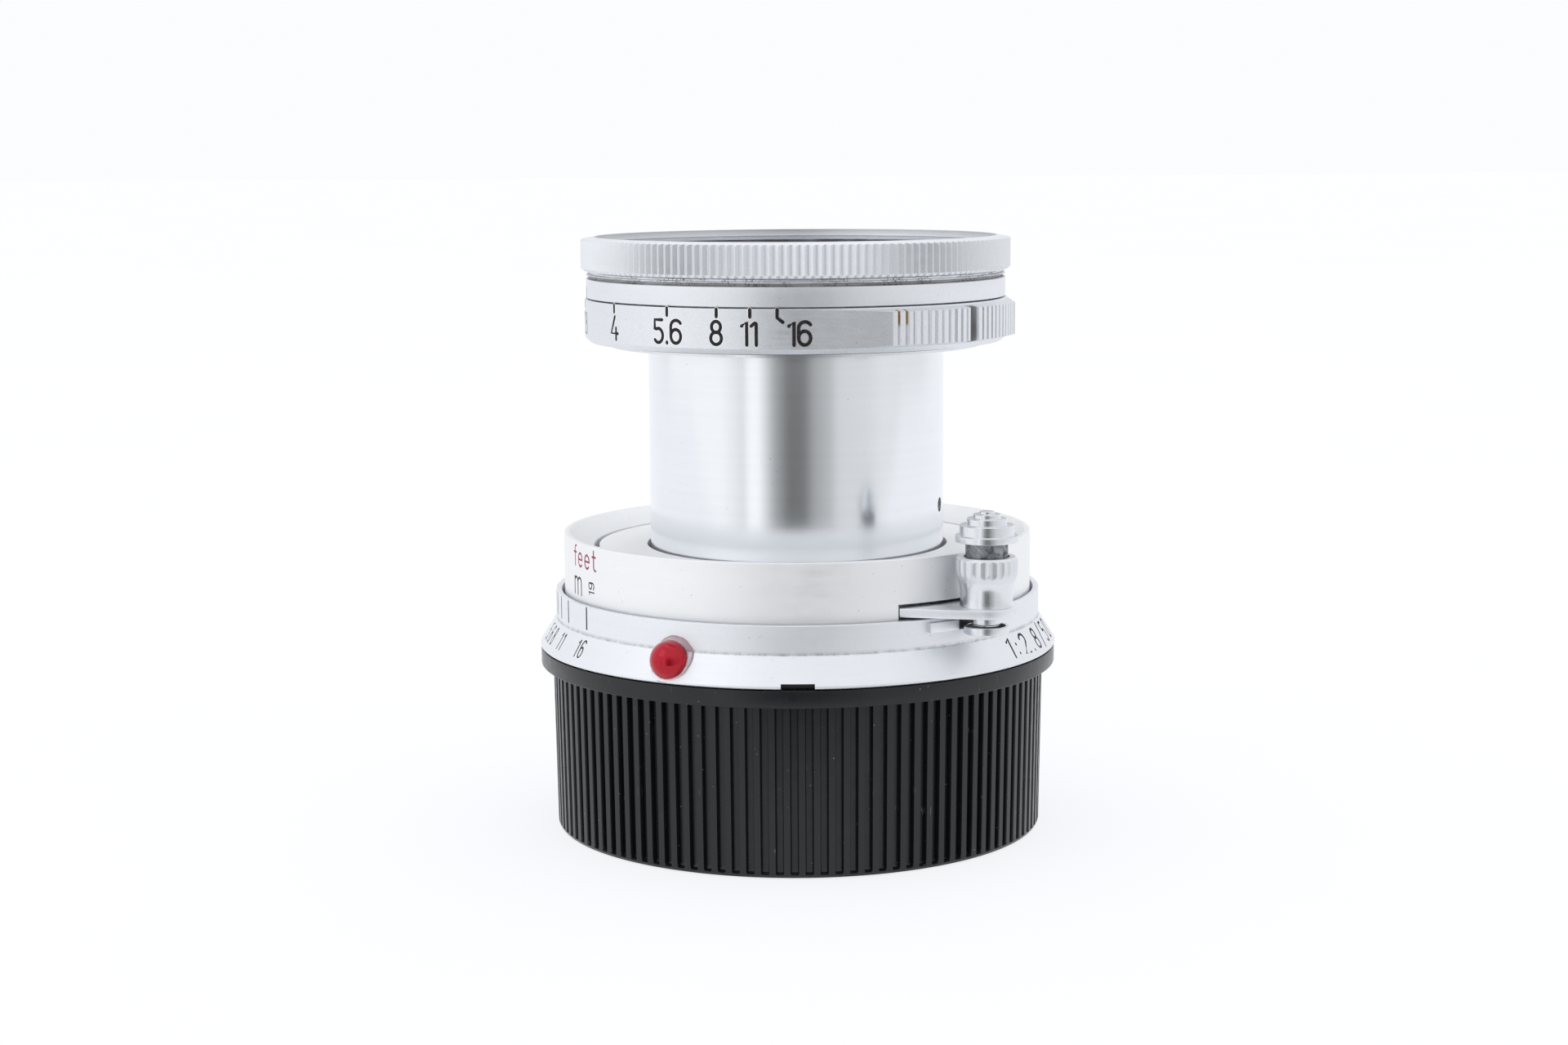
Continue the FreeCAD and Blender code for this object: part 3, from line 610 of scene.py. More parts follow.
def cap_plastic():
    """Moulded black plastic with a faint texture, dust in the grooves and light scratches."""
    base = opaque(colours().plastic)
    material, tree, shader = blank("cap_plastic", 0.0, 0.26, IOR=1.45)
    sand = effect(tree, "satin_grain", Grains_per_mm=12.0)
    use = effect(tree, "handling", Dust=0.8, Scratches=0.8)
    tone = blend(tree, use["Dust"], base, (0.3, 0.3, 0.31, 1.0))
    tone = blend(tree, times(tree, use["Scratch"], 0.5), tone, (0.16, 0.16, 0.17, 1.0))
    tone = blend(tree, times(tree, sand["Cloud"], 0.4), tone, shade(base, 1.5))
    rough = spread(tree, use["Rubbed"], 0.0, 1.0, 0.3, 0.22)
    paint_from(tree, shader, tone, rough)
    relief(tree, shader, minus(tree, sand["Height"], use["Scratch"]), 0.0022)
    return material


def ruby_bead():
    """A glossy red glass bead; its foil back throws the room back red."""
    base = opaque(colours().bead)
    material, tree, shader = blank("ruby_bead", 0.55, 0.12, IOR=1.4, Coat_Weight=0.35, Coat_Roughness=0.02)
    vector = object_place(tree)[0]
    cloud = spread(tree, noise(tree, vector, 0.9, 2.0), 0.35, 0.65)
    tone = blend(tree, times(tree, cloud, 0.4), base, shade(base, 0.8))
    paint_from(tree, shader, tone, spread(tree, cloud, 0.0, 1.0, 0.1, 0.16))
    relief(tree, shader, noise(tree, vector, 1.6, 1.0), 0.004)
    return material


def clear_glue():
    """The rim of clear cement round the bead."""
    material, tree, shader = blank("clear_glue", 0.0, 0.12, IOR=1.45, Transmission_Weight=0.9)
    vector = object_place(tree)[0]
    lump = noise(tree, vector, 1.4, 3.0)
    tone = blend(tree, spread(tree, lump, 0.3, 0.7), (0.95, 0.86, 0.89, 1.0), (0.99, 0.96, 0.97, 1.0))
    paint_from(tree, shader, tone, spread(tree, lump, 0.3, 0.7, 0.08, 0.2))
    relief(tree, shader, lump, 0.05)
    return material


def engraving_paint(name, colour):
    """Paint rubbed into an engraved line, a little uneven."""
    base = opaque(colour)
    material, tree, shader = blank(name, 0.0, 0.55, Specular_IOR_Level=0.2)
    vector = object_place(tree)[0]
    patch = noise(tree, vector, 5.0, 3.0)
    lighter = tuple(min(1.0, c * 1.5 + 0.02) for c in base[:3]) + (1.0,)
    paint_from(tree, shader, blend(tree, spread(tree, patch, 0.45, 0.75), base, lighter),
               spread(tree, patch, 0.3, 0.7, 0.45, 0.65))
    relief(tree, shader, patch, 0.004)
    return material


def black_anodised():
    """Turned aluminium under a dull black coat."""
    material, tree, shader = blank("black_anodised", 0.0, 0.5, IOR=1.6)
    marks = effect(tree, "brush_marks", Round_the_axis=0.3, Along_the_axis=7.0)
    use = effect(tree, "handling", Dust=0.6, Scratches=0.3)
    tone = blend(tree, marks["Streak"], (0.018, 0.018, 0.02, 1.0), (0.032, 0.032, 0.034, 1.0))
    tone = blend(tree, use["Dust"], tone, (0.3, 0.3, 0.3, 1.0))
    paint_from(tree, shader, tone, spread(tree, marks["Height"], 0.2, 0.8, 0.4, 0.6))
    relief(tree, shader, marks["Height"], 0.002)
    return material


def coated_glass():
    """Polished glass with a coating's faint violet and amber bloom."""
    material, tree, shader = blank("coated_glass", 0.0, 0.02, IOR=1.65, Transmission_Weight=1.0,
                                   Coat_Weight=0.4, Coat_Roughness=0.02)
    shader.inputs["Coat Tint"].default_value = (0.75, 0.6, 1.0, 1.0)
    use = effect(tree, "handling", Dust=0.4, Scratches=0.0)
    tone = blend(tree, use["Dust"], (0.97, 0.98, 0.99, 1.0), (0.75, 0.75, 0.74, 1.0))
    paint_from(tree, shader, tone, spread(tree, use["Dust"], 0.0, 1.0, 0.02, 0.3))
    return material


def studio_floor():
    """A pale sheet, lit until it is almost white."""
    base = opaque(colours().floor)
    material, tree, shader = blank("studio_floor", 0.0, 0.9, Specular_IOR_Level=0.0)
    cloud = noise(tree, object_place(tree)[0], 0.01, 2.0)
    paint_from(tree, shader, blend(tree, cloud, shade(base, 0.22), shade(base, 0.2)))
    shader.inputs["Emission Color"].default_value = base
    shader.inputs["Emission Strength"].default_value = sizes().floor_glow
    return material


MAKERS = {
    "satin": satin_chrome,
    "grip": satin_chrome_grip,
    "knurled": knurled_chrome,
    "focus": focus_chrome,
    "scale": scale_chrome,
    "bright": bright_chrome,
    "fluted": fluted_chrome,
    "turned": turned_chrome,
    "grimy": grimy_chrome,
    "greasy": greasy_steel,
    "plastic": cap_plastic,
    "bead": ruby_bead,
    "glue": clear_glue,
    "anodised": black_anodised,
    "glass": coated_glass,
    "floor": studio_floor,
    "brass": lambda: metal("brass_parts", colours().brass, 0.34),
    "spring": lambda: metal("spring_steel", (0.5, 0.5, 0.52), 0.25),
    "blade": lambda: metal("blade_steel", (0.1, 0.105, 0.115), 0.42),
    "steel": lambda: metal("screw_steel", (0.55, 0.55, 0.56), 0.3),
    "black paint": lambda: engraving_paint("engraving_black", colours().ink),
    "red paint": lambda: engraving_paint("engraving_red", colours().feet_ink),
    # Paler metal for the rims of wide engraved lines: partly a raised ridge, partly a painted highlight
    "burr and highlight": lambda: metal("engraving_burr_highlight", (0.97, 0.97, 0.98), 0.3),
}
FINISHES = {}


def finish(name):
    """A finish from the list, made the first time it is asked for."""
    if name not in FINISHES:
        FINISHES[name] = MAKERS[name]()
    return FINISHES[name]


# ---- engraving -----------------------------------------------------------------------------------

# Lines wider than this, in millimetres, get a rim of paler, glossier metal: partly the ridge the cutter
# raised, partly a painted highlight for light caught by the engraved edge
BURR_HIGHLIGHT_FROM = 0.3

# Each character is its width and its strokes, on a body one unit tall. A stroke runs through points
# (x, y) and arcs (centre x, centre y, radius x, radius y, from degree, to degree).
LETTERS = {
    "0": (0.56, [[(0.28, 0.7, 0.28, 0.3, 0, 180), (0.28, 0.3, 0.28, 0.3, 180, 360), (0.56, 0.7)]]),
    "1": (0.22, [[(0.0, 0.82), (0.22, 1.0), (0.22, 0.0)]]),
    "2": (0.54, [[(0.27, 0.73, 0.27, 0.27, 165, -30), (0.0, 0.0), (0.56, 0.0)]]),
    "3": (0.54, [[(0.26, 0.77, 0.24, 0.23, 150, -90), (0.26, 0.27, 0.28, 0.27, 90, -155)]]),
    "4": (0.56, [[(0.33, 1.0), (0.0, 0.26), (0.56, 0.26)], [(0.42, 0.5), (0.42, 0.0)]]),
    "5": (0.5, [[(0.45, 1.0), (0.04, 1.0), (0.04, 0.58), (0.24, 0.31, 0.25, 0.31, 115, -140)]]),
    "6": (0.52, [[(0.28, 0.72, 0.28, 0.28, 35, 180), (0.26, 0.3, 0.26, 0.3, 180, 540)]]),
    "8": (0.5, [[(0.25, 0.76, 0.21, 0.24, -90, 270)], [(0.25, 0.27, 0.25, 0.27, 90, 450)]]),
    "9": (0.56, [[(0.26, 0.28, 0.3, 0.28, 215, 360), (0.28, 0.7, 0.28, 0.3, 0, 360)]]),
    ".": (0.04, [[(0.02, 0.0), (0.02, 0.03)]]),
    ":": (0.04, [[(0.02, 0.12), (0.02, 0.15)], [(0.02, 0.6), (0.02, 0.63)]]),
    "/": (0.36, [[(0.0, -0.1), (0.36, 1.1)]]),
    "f": (0.34, [[(0.36, 0.83, 0.17, 0.17, 85, 180), (0.19, 0.0)], [(0.02, 0.66), (0.36, 0.66)]]),
    "e": (0.5, [[(0.02, 0.36), (0.25, 0.34, 0.25, 0.33, 0, 315)]]),
    "t": (0.34, [[(0.14, 0.95), (0.31, 0.17, 0.17, 0.17, 180, 280)], [(0.0, 0.66), (0.32, 0.66)]]),
    "m": (0.76, [[(0.0, 0.0), (0.0, 0.68)], [(0.19, 0.48, 0.19, 0.2, 180, 0), (0.38, 0.0)],
                 [(0.57, 0.48, 0.19, 0.2, 180, 0), (0.76, 0.0)]]),
    "inf": (1.0, [[(0.25, 0.4, 0.25, 0.24, 40, 320), (0.75, 0.4, 0.25, 0.24, -140, 140), (0.44, 0.56)]]),
}


def stroke_run(stroke, height):
    """The points that one stroke of a character runs through."""
    run = []
    for part in stroke:
        if len(part) == 2:
            run.append(part)
            continue
        cx, cy, rx, ry, start, end = part
        steps = max(4, ceil(abs(end - start) / 15))
        for step in range(steps + 1):
            a = radians(start + (end - start) * step / steps)
            run.append((cx + rx * cos(a), cy + ry * sin(a)))
    scaled = [(x * height, y * height) for x, y in run]
    kept = scaled[:1]
    for point in scaled[1:]:
        if hypot(point[0] - kept[-1][0], point[1] - kept[-1][1]) > 0.02:
            kept.append(point)
    return kept


def lettering(text, height, base, gap=0.2, quarter_turn=False, narrow=1.0):
    """Strokes of a line of characters, centred left to right, standing on a base height."""
    names = ["inf"] if text == "inf" else list(text)
    width = sum(LETTERS[name][0] for name in names) * height + gap * height * (len(names) - 1)
    x = -width / 2 * narrow
    strokes = []
    for name in names:
        advance, parts = LETTERS[name]
        for part in parts:
            run = [(x + px * narrow, py) for px, py in stroke_run(part, height)]
            if quarter_turn:
                run = [(height / 2 - py, px + width * narrow / 2) for px, py in run]
            strokes.append([(px, py + base) for px, py in run])
        x += (advance + gap) * height * narrow
    return strokes


def filled_line(run, width, height):
    """A rounded, flattened bar along a run, as (along, up, out) points and faces."""
    closed = hypot(run[0][0] - run[-1][0], run[0][1] - run[-1][1]) < 0.03 and len(run) > 3
    path = run[:-1] if closed else rounded(run, width * 0.35, closed=False)
    count = len(path)
    stations = []
    for i, (x, y) in enumerate(path):
        bx, by = path[i - 1] if closed or i else (x, y)
        ax, ay = path[(i + 1) % count] if closed or i < count - 1 else (x, y)
        length = hypot(ax - bx, ay - by) or 1.0
        stations.append((x, y, (ax - bx) / length, (ay - by) / length, 1.0))
    if not closed:
        x, y, tx, ty, size = stations[0]
        caps = [(x - tx * sin(a) * width / 2, y - ty * sin(a) * width / 2, tx, ty, cos(a))
                for a in (1.45, 1.1, 0.6)]
        x, y, tx, ty, size = stations[-1]
        tail = [(x + tx * sin(a) * width / 2, y + ty * sin(a) * width / 2, tx, ty, cos(a))
                for a in (0.6, 1.1, 1.45)]
        stations = caps + stations + tail
    section = 8
    points = []
    for x, y, tx, ty, size in stations:
        for k in range(section):
            a = 2 * pi * k / section
            side = cos(a) * width / 2 * size
            points.append((x - ty * side, y + tx * side, sin(a) * height * size))
    faces = skin(len(stations), section, closed)
    if not closed:
        faces.append(tuple(range(section)))
        faces.append(tuple((len(stations) - 1) * section + k for k in reversed(range(section))))
    return points, faces


def on_wall(radius):
    """Lay engraving on an upright wall."""
    def place(azimuth, along, up, out):
        return polar(radius + out, azimuth + degrees(along / radius), up)
    return place


def on_cone(r_low, z_low, r_high, z_high):
    """Lay engraving on a cone; up is counted along its slope from the lower edge."""
    length = hypot(r_high - r_low, z_high - z_low)
    slope = ((r_high - r_low) / length, (z_high - z_low) / length)

    def place(azimuth, along, up, out):
        r = r_low + slope[0] * up + slope[1] * out
        z = z_low + slope[1] * up - slope[0] * out
        return polar(r, azimuth + degrees(along / ((r_low + r_high) / 2)), z)
    return place


def engrave(name, marks, place, width, body, slot, paint="black paint"):
    """Painted lines, with a fine rim of paler metal along wide ones, partly a raised ridge and partly a
    painted highlight; marks are (azimuth, strokes) pairs.
    """
    layers = [(name, width, 0.014, paint)]
    # The paler rim is partly a painted highlight along the engraved edge
    if width > BURR_HIGHLIGHT_FROM:
        layers.append((name + "_burr_highlight", width + 0.07, 0.006, "burr and highlight"))
    for label, breadth, height, look in layers:
        points, faces = [], []
        for azimuth, strokes in marks:
            for run in strokes:
                bar, sides = filled_line(run, breadth, height)
                start = len(points)
                points += [place(azimuth, *point) for point in bar]
                faces += [tuple(start + i for i in side) for side in sides]
        fit(new_piece(label, points, faces, 60.0), body, slot, look)


def tick(low, high):
    """The one stroke of an upright tick."""
    return [[(0.0, low), (0.0, high)]]


# ---- pieces --------------------------------------------------------------------------------------

# One rib of the cap: how far along its pitch, and how high it stands there
RIB_SHAPE = ((0.02, 1.0), (0.46, 1.0), (0.5, 0.75), (0.54, 0.0), (0.94, 0.0), (0.98, 0.75))


def make_rear_cap():
    """The deep black cap: fine grooves all round its skin, under a plain flange."""
    flange_r, low, high = reach("rear_cap")
    ribs, depth = sizes().cap_ribs, sizes().rib_depth / MM
    top_r, base_r, rib_top, edge = 24.33, 24.08, 16.3, 0.4
    bore_r, floor_z = 22.9, 1.5

    def crest(z):
        return base_r + (top_r - base_r) * z / rib_top

    levels = [edge, edge + 0.05, edge + 0.2, edge + 0.5, 4.0, 8.0, 12.0, rib_top - 0.02, rib_top]
    outline = [(0.0, low), (20.0, low), (base_r - 0.5, low), (base_r - 0.12, low + 0.12)]
    outline.append((base_r, edge - 0.05))
    outline += [(crest(z), z) for z in levels]
    rim = rounded([(top_r, rib_top), (flange_r, rib_top), (flange_r, high), (bore_r, high), (bore_r, floor_z),
                   (0.0, floor_z)], 0.12, closed=False)
    outline += rim[1:]
    pitch = 360.0 / ribs
    azimuths, dip = [], {}
    for rib in range(ribs):
        for share, height in RIB_SHAPE:
            azimuth = pitch * (rib + share)
            azimuths.append(azimuth)
            dip[azimuth] = 1 - height

    def groove(azimuth, r, z):
        if not edge < z < rib_top + 0.001 or r < bore_r + 0.5 or r > crest(z) + 0.01:
            return r
        sunk = depth * dip[azimuth]
        return r - (sunk if z > edge + 0.3 else sunk * (z - edge) / 0.3)

    cap = new_piece("ribbed_cap", *turned(outline, azimuths, groove), sharp=25.0)
    fit(cap, "cap_body", "cap_plastic", "plastic", "rear_cap")


def bent_plate(name, spans, z_low, z_high, soften, edge, steps=12):
    """A flat block bent to the rings: spans holds its two radii and its two azimuths."""
    plan = rounded(sector_plan(*spans, steps), soften)
    return new_piece(name, *plate(plan, z_low, z_high, edge))


def make_scale_ring():
    """The fixed ring with the depth-of-field scale, its bead, and the stop under the lever."""
    skirt_r, low, top = reach("depth_scale_ring")
    cup_r, seat_r, bore_r, shelf_z, seat_z = 23.36, 24.3, 22.0, 20.2, 19.2
    outline = [(seat_r, low), (skirt_r - 0.16, low), (skirt_r, low + 0.14), (skirt_r - 0.04, low + 0.3),
               (SCALE_WALL_R, CREASE_Z), (SCALE_WALL_R, top), (cup_r, top), (cup_r, shelf_z),
               (bore_r, shelf_z), (bore_r, seat_z), (seat_r, seat_z)]
    ring = turned_piece("depth_scale", outline, 0.07, evenly(720))
    half, near, far = 1.55, 23.4, 27.0
    notch = new_piece("notch", *plate([(-half, -far), (half, -far), (half, -near), (-half, -near)],
                                      low - 0.2, low + 0.52, 0.02))
    fit(carve(ring, notch), "mount_body", "satin_chrome", "scale", "depth_scale_ring")
    # Painted shade: a black plate behind the notch stands for the dark inside seen through it
    slot = bent_plate("notch_shade_plate", (24.22, 24.6, -3.9, 3.9), low - 0.05, low + 0.56, 0.05, 0.03)
    fit(slot, "mount_body", "black_anodised", "anodised")
    make_bead((24.43, -28.7, 20.05), 1.88)

    block = bent_plate("stop_block", (23.7, 24.5, 30.0, 37.7), 22.4, 23.35, 0.08, 0.07)
    fit(block, "mount_body", "satin_chrome", "satin", "infinity_catch")
    knob = centre_of("focus_knob")
    cup = ring_piece("catch_ring", 1.8, 2.12, 22.2, 22.9, 0.06, knob)
    fit(cup, "mount_body", "bright_chrome", "bright")
    # Painted shade: a black lining inside the catch ring stands for its shaded inside
    shade_lining = ring_piece("catch_shade_lining", 1.72, 1.81, 22.24, 22.84, 0.02, knob)
    fit(shade_lining, "mount_body", "black_anodised", "anodised")
    # Painted shade: the catch arm, raised and black, fills the shadowed gap between the stop block and the
    # catch ring
    shade_arm = bent_plate("catch_arm_shade", (23.7, 24.4, 37.8, 46.0), 22.4, 23.3, 0.06, 0.06)
    fit(shade_arm, "mount_body", "black_anodised", "anodised")


def make_bead(centre, radius):
    """The red index bead and the clear cement it sits in."""
    r, azimuth, z = centre
    rings, turns, buried = 28, 56, 0.78
    points = []
    for i in range(rings + 1):
        tilt = pi * buried * i / rings
        x, y, _ = polar(r + radius * cos(tilt), azimuth)
        for k in range(turns):
            a = 2 * pi * k / turns
            sx, sy, _ = polar(radius * sin(tilt) * cos(a), azimuth + 90.0)
            points.append((x + sx, y + sy, z + radius * sin(tilt) * sin(a)))
    faces = skin(rings + 1, turns)
    faces.append(tuple(rings * turns + k for k in range(turns)))
    bead = new_piece("ruby_bead", points, faces, 60.0)
    fit(bead, "mount_body", "red_bead", "bead", "index_bead")

    chance = random.Random(5)
    lumps = [chance.uniform(0.85, 1.15) for _ in range(turns)]
    points, section, cone_slope = [], 8, 0.59
    for k in range(turns):
        a = 2 * pi * k / turns
        heavy = 0.1 + 0.5 * max(0.0, cos(a - 0.75)) ** 0.8 + 0.3 * (lumps[k] - 1)
        ring_r = radius - 0.06 + heavy * 0.4
        for m in range(section):
            b = 2 * pi * m / section
            across = ring_r + cos(b) * heavy * 0.55
            side, up = across * cos(a), across * sin(a)
            wall = SCALE_WALL_R + max(0.0, CREASE_Z - (z + up)) * cone_slope
            out = wall + 0.02 + max(0.0, sin(b)) * heavy * 0.55
            x, y, _ = polar(out, azimuth + degrees(side / out))
            points.append((x, y, max(z + up, SKIRT_Z - 0.18)))
    glue = new_piece("bead_cement", points, skin(turns, section, closed=True), 60.0)
    fit(glue, "mount_body", "red_bead", "glue")


def make_focusing_ring():
    """The smooth focusing ring, cut away for the lever, and the floor inside it."""
    r, low, top = reach("focusing_ring")
    skirt_bore, lip_r, throat_r, lip_z, under_z = 22.3, 22.5, 20.1, 27.9, 26.55
    outline = [(skirt_bore, low), (r, low), (r, top), (lip_r, top), (throat_r, lip_z), (throat_r, under_z),
               (skirt_bore, under_z)]
    ring = turned_piece("focus_ring", outline, 0.18, evenly(720))
    slot = bent_plate("slot", (21.5, 24.5, 23.7, 52.3), 23.55, 25.06, 0.2, 0.02, steps=24)
    fit(carve(ring, slot), "focus_body", "focus_ring_chrome", "focus", "focusing_ring")
    floor_r, floor_low, floor_top = reach("floor_ring")
    floor = ring_piece("ring_floor", 14.85, floor_r, floor_low, floor_top, 0.06)
    fit(floor, "focus_body", "focus_ring_chrome", "focus", "floor_ring")


def lever_plan(centre, nose_r):
    """Plan of the lever: an arc inside the ring, and straight sides that run on to its round nose."""
    cx, cy = centre
    inner_r, left_end, right_end = 22.35, 24.0, 52.0
    left, right = polar(FOCUS_R, left_end)[:2], polar(FOCUS_R, right_end)[:2]
    touches = []
    for point, side in ((left, -1), (right, 1)):
        dx, dy = point[0] - cx, point[1] - cy
        half = degrees(atan2(sqrt(dx * dx + dy * dy - nose_r ** 2), nose_r))
        touches.append(degrees(atan2(dx, -dy)) - side * half)
    first, last = touches
    span = (last - first) % 360.0
    plan = [polar(inner_r, azimuth)[:2] for azimuth in (right_end, (left_end + right_end) / 2, left_end)]
    plan.append(left)
    for step in range(25):
        x, y, _ = polar(nose_r, first + span * step / 24)
        plan.append((cx + x, cy + y))
    return plan + [right]


def make_lever_and_knob():
    """The focusing lever with its fluted knob and the stepped button of the infinity lock."""
    centre = centre_of("focus_knob")
    z_low, z_high = (corner.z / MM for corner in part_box("focus_lever"))
    plan = rounded(lever_plan(centre, 2.85), 0.12)
    lever = new_piece("focus_lever_plate", *plate(plan, z_low, z_high, 0.12), sharp=40.0)
    fit(lever, "focus_body", "bright_chrome", "satin", "focus_lever")

    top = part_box("focus_knob")[1].z / MM
    knob_r, waist, well_r, flutes = 2.87, 2.42, 2.12, sizes().knob_flutes
    foot = ((0.02, 0.0), (0.06, 0.06), (0.04, 0.18), (0.0, 0.32))
    flare = ((-0.01, 25.6), (0.0, 26.1), (0.02, 26.4), (0.07, 26.7), (0.12, 26.9), (0.18, JOIN_Z))
    outline = [(0.0, z_high)] + [(waist + out, z_high + up) for out, up in foot]
    outline += [(waist + out, z) for out, z in flare] + [(0.0, JOIN_Z)]
    base = new_piece("knob_waist", *turned(outline, evenly(144), centre=centre), sharp=40.0)
    fit(base, "focus_body", "bright_chrome", "bright")

    swell = ((0.18, JOIN_Z), (0.24, 27.25), (0.29, 27.37), (0.34, 27.5), (0.38, 27.62), (0.41, 27.74),
             (0.43, 27.86))
    outline = [(0.0, JOIN_Z)] + [(waist + out, z) for out, z in swell]
    outline += [(knob_r - 0.005, 28.0), (knob_r, 28.2), (knob_r, top - 0.3)]
    outline += [(knob_r - 0.04 * k, top - 0.3 + 0.05 * k) for k in range(1, 6)]
    outline += [(knob_r - 0.24, top), (well_r, top), (well_r, top - 0.6), (0.0, top - 0.6)]
    pitch = 360.0 / flutes
    samples = [pitch * (flute + k / 8) for flute in range(flutes) for k in range(8)]

    def fluted(azimuth, r, z):
        hollow = knob_r - 0.1 * abs(sin(pi * azimuth / pitch))
        return min(r, hollow) if r > well_r + 0.08 else r

    crown = new_piece("knob_crown", *turned(outline, samples, fluted, centre), sharp=24.0)
    fit(crown, "focus_body", "bright_chrome", "fluted", "focus_knob")
    make_lock_button(centre)


def make_lock_button(centre):
    """The stepped button on the knob, its stem and pin, and the foot that drops into the stop."""
    pin_low, top = (corner.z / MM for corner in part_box("lock_button"))
    foot_low, foot_high = (corner.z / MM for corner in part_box("lock_pin_foot"))
    outline, low = [(0.0, 30.73)], 30.73
    for r, high in ((2.93, 31.32), (2.52, 32.27), (1.86, 32.88), (1.29, 33.26), (0.69, top)):
        outline += [(r, low), (r, high)]
        low = high
    outline.append((0.0, top))
    button = turned_piece("stepped_button", outline, 0.07, evenly(120), centre=centre)
    fit(button, "lock_body", "bright_chrome", "bright", "lock_button")
    for name, r, low, high, edge, turns, look, nodes in (
            ("button_stem", 1.96, 28.3, 30.74, 0.04, 96, "greasy", ()),
            ("button_pin", 0.9, pin_low, 28.35, 0.04, 64, "bright", ()),
            ("pin_foot", 1.35, foot_low, foot_high, 0.15, 96, "bright", ("lock_pin_foot",))):
        outline = [(0.0, low), (r, low), (r, high), (0.0, high)]
        rod = turned_piece(name, outline, edge, evenly(turns), centre=centre)
        fit(rod, "lock_body", "bright_chrome", look, *nodes)


def make_barrel():
    """The sliding tube and the small screw in its side."""
    r, low, high = reach("barrel_tube")
    bore_r, drill_r, start, screw_azimuth, screw_z = 13.8, 0.7, 0.86, 74.2, 32.0
    tube = ring_piece("sliding_tube", bore_r, r, low, high, 0.08)
    x, y, _ = polar(r, screw_azimuth)
    outline = [(0.0, 0.0), (drill_r, 0.0), (drill_r, 4.0), (0.0, 4.0)]
    drill = new_piece("drill", *turned(outline, evenly(48)))
    drill.matrix_world = (Matrix.Translation((x * MM * start, y * MM * start, screw_z * MM))
                          @ Vector((x, y, 0)).to_track_quat("Z", "Y").to_matrix().to_4x4())
    bpy.context.view_layer.update()
    fit(carve(tube, drill), "barrel_body", "barrel_chrome", "turned", "barrel_tube")
    refinish("greasy", "barrel_screw")


def grip_radius(azimuth):
    """Radius of the aperture ring round its two finger grips, each between two flats."""
    a = azimuth % 180.0
    (grip, end), (left, right) = GRIP_AZIMUTHS, GROOVE_AZIMUTHS
    flat = degrees(acos(COLLAR_R / LOBE_R))
    groove_depth, tooth_depth, tooth_half = 0.6, 0.24, 0.45
    if a <= grip - flat or a >= end + flat:
        return COLLAR_R
    if a < grip:
        return COLLAR_R / cos(radians(a - grip + flat))
    if a > end:
        return COLLAR_R / cos(radians(end + flat - a))
    if left < a < right:
        return LOBE_R - groove_depth * min(1.0, min(a - left, right - a) / 0.6)
    near = (a - grip - FIRST_TOOTH + TOOTH_PITCH / 2) % TOOTH_PITCH - TOOTH_PITCH / 2
    if abs(near) < tooth_half and not left - 0.9 < a < right + 0.9 and grip + 1.0 < a < end - 0.8:
        return LOBE_R - tooth_depth * (1 - abs(near) / tooth_half)
    return LOBE_R


def make_aperture_ring():
    """The aperture ring: a bevelled collar with two serrated finger grips."""
    low, high = (corner.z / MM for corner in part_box("aperture_ring"))
    bore_r, steps, rise = 19.42, 12, LOBE_R - COLLAR_R
    lobe_low, lobe_high = LOBE_Z
    outline = rounded([(bore_r, low), (COLLAR_R - 0.5, low), (COLLAR_R, low + 0.49)], 0.06, closed=False)
    for k in range(steps + 1):
        outline.append((COLLAR_R + rise * k / steps, low + 0.5 + (lobe_low - low - 0.5) * k / steps))
    outline += [(LOBE_R, 49.4), (LOBE_R, 50.2), (LOBE_R, 51.0)]
    for k in range(steps + 1):
        outline.append((LOBE_R - rise * k / steps, lobe_high + (high - 0.14 - lobe_high) * k / steps))
    outline += rounded([(COLLAR_R, high - 0.13), (COLLAR_R, high), (bore_r, high), (bore_r, high - 0.3)], 0.1,
                       closed=False)[1:]

    def grip(azimuth, r, z):
        return min(r, max(COLLAR_R, grip_radius(azimuth))) if r > COLLAR_R else r

    azimuths = []
    for half in (0.0, 180.0):
        for start, step, count in ((0.0, 1.0, 6), (5.6, 0.15, 593), (95.0, 1.0, 85)):
            azimuths += [half + start + step * i for i in range(count)]
    ring = new_piece("aperture_collar", *turned(outline, azimuths, grip), sharp=16.0)
    fit(ring, "aperture_body", "satin_chrome", "grip", "aperture_ring")


def make_head_rings():
    """The smooth index band and the hood groove above it."""
    r, low, high = reach("index_ring")
    cell_r, housing_r, band_z, bore_r = 16.5, 19.35, 52.3, 16.9
    outline = [(cell_r, low), (housing_r, low), (housing_r, band_z), (r, band_z), (r, high), (cell_r, high)]
    band = turned_piece("index_band", outline, 0.07, evenly(720))
    fit(band, "barrel_body", "satin_chrome", "satin", "index_ring")
    r, low, high = reach("clamp_ring")
    middle = (low + high) / 2
    outline = [(bore_r, low), (r - 0.1, low), (r - 0.32, low + 0.12), (r - 0.3, middle - 0.14),
               (r, middle - 0.06), (r, middle + 0.08), (r - 0.34, middle + 0.14), (r - 0.34, high - 0.08),
               (r - 0.2, high), (bore_r, high)]
    groove = turned_piece("hood_groove", outline, 0.03, evenly(720))
    fit(groove, "barrel_body", "satin_chrome", "grimy", "clamp_ring")


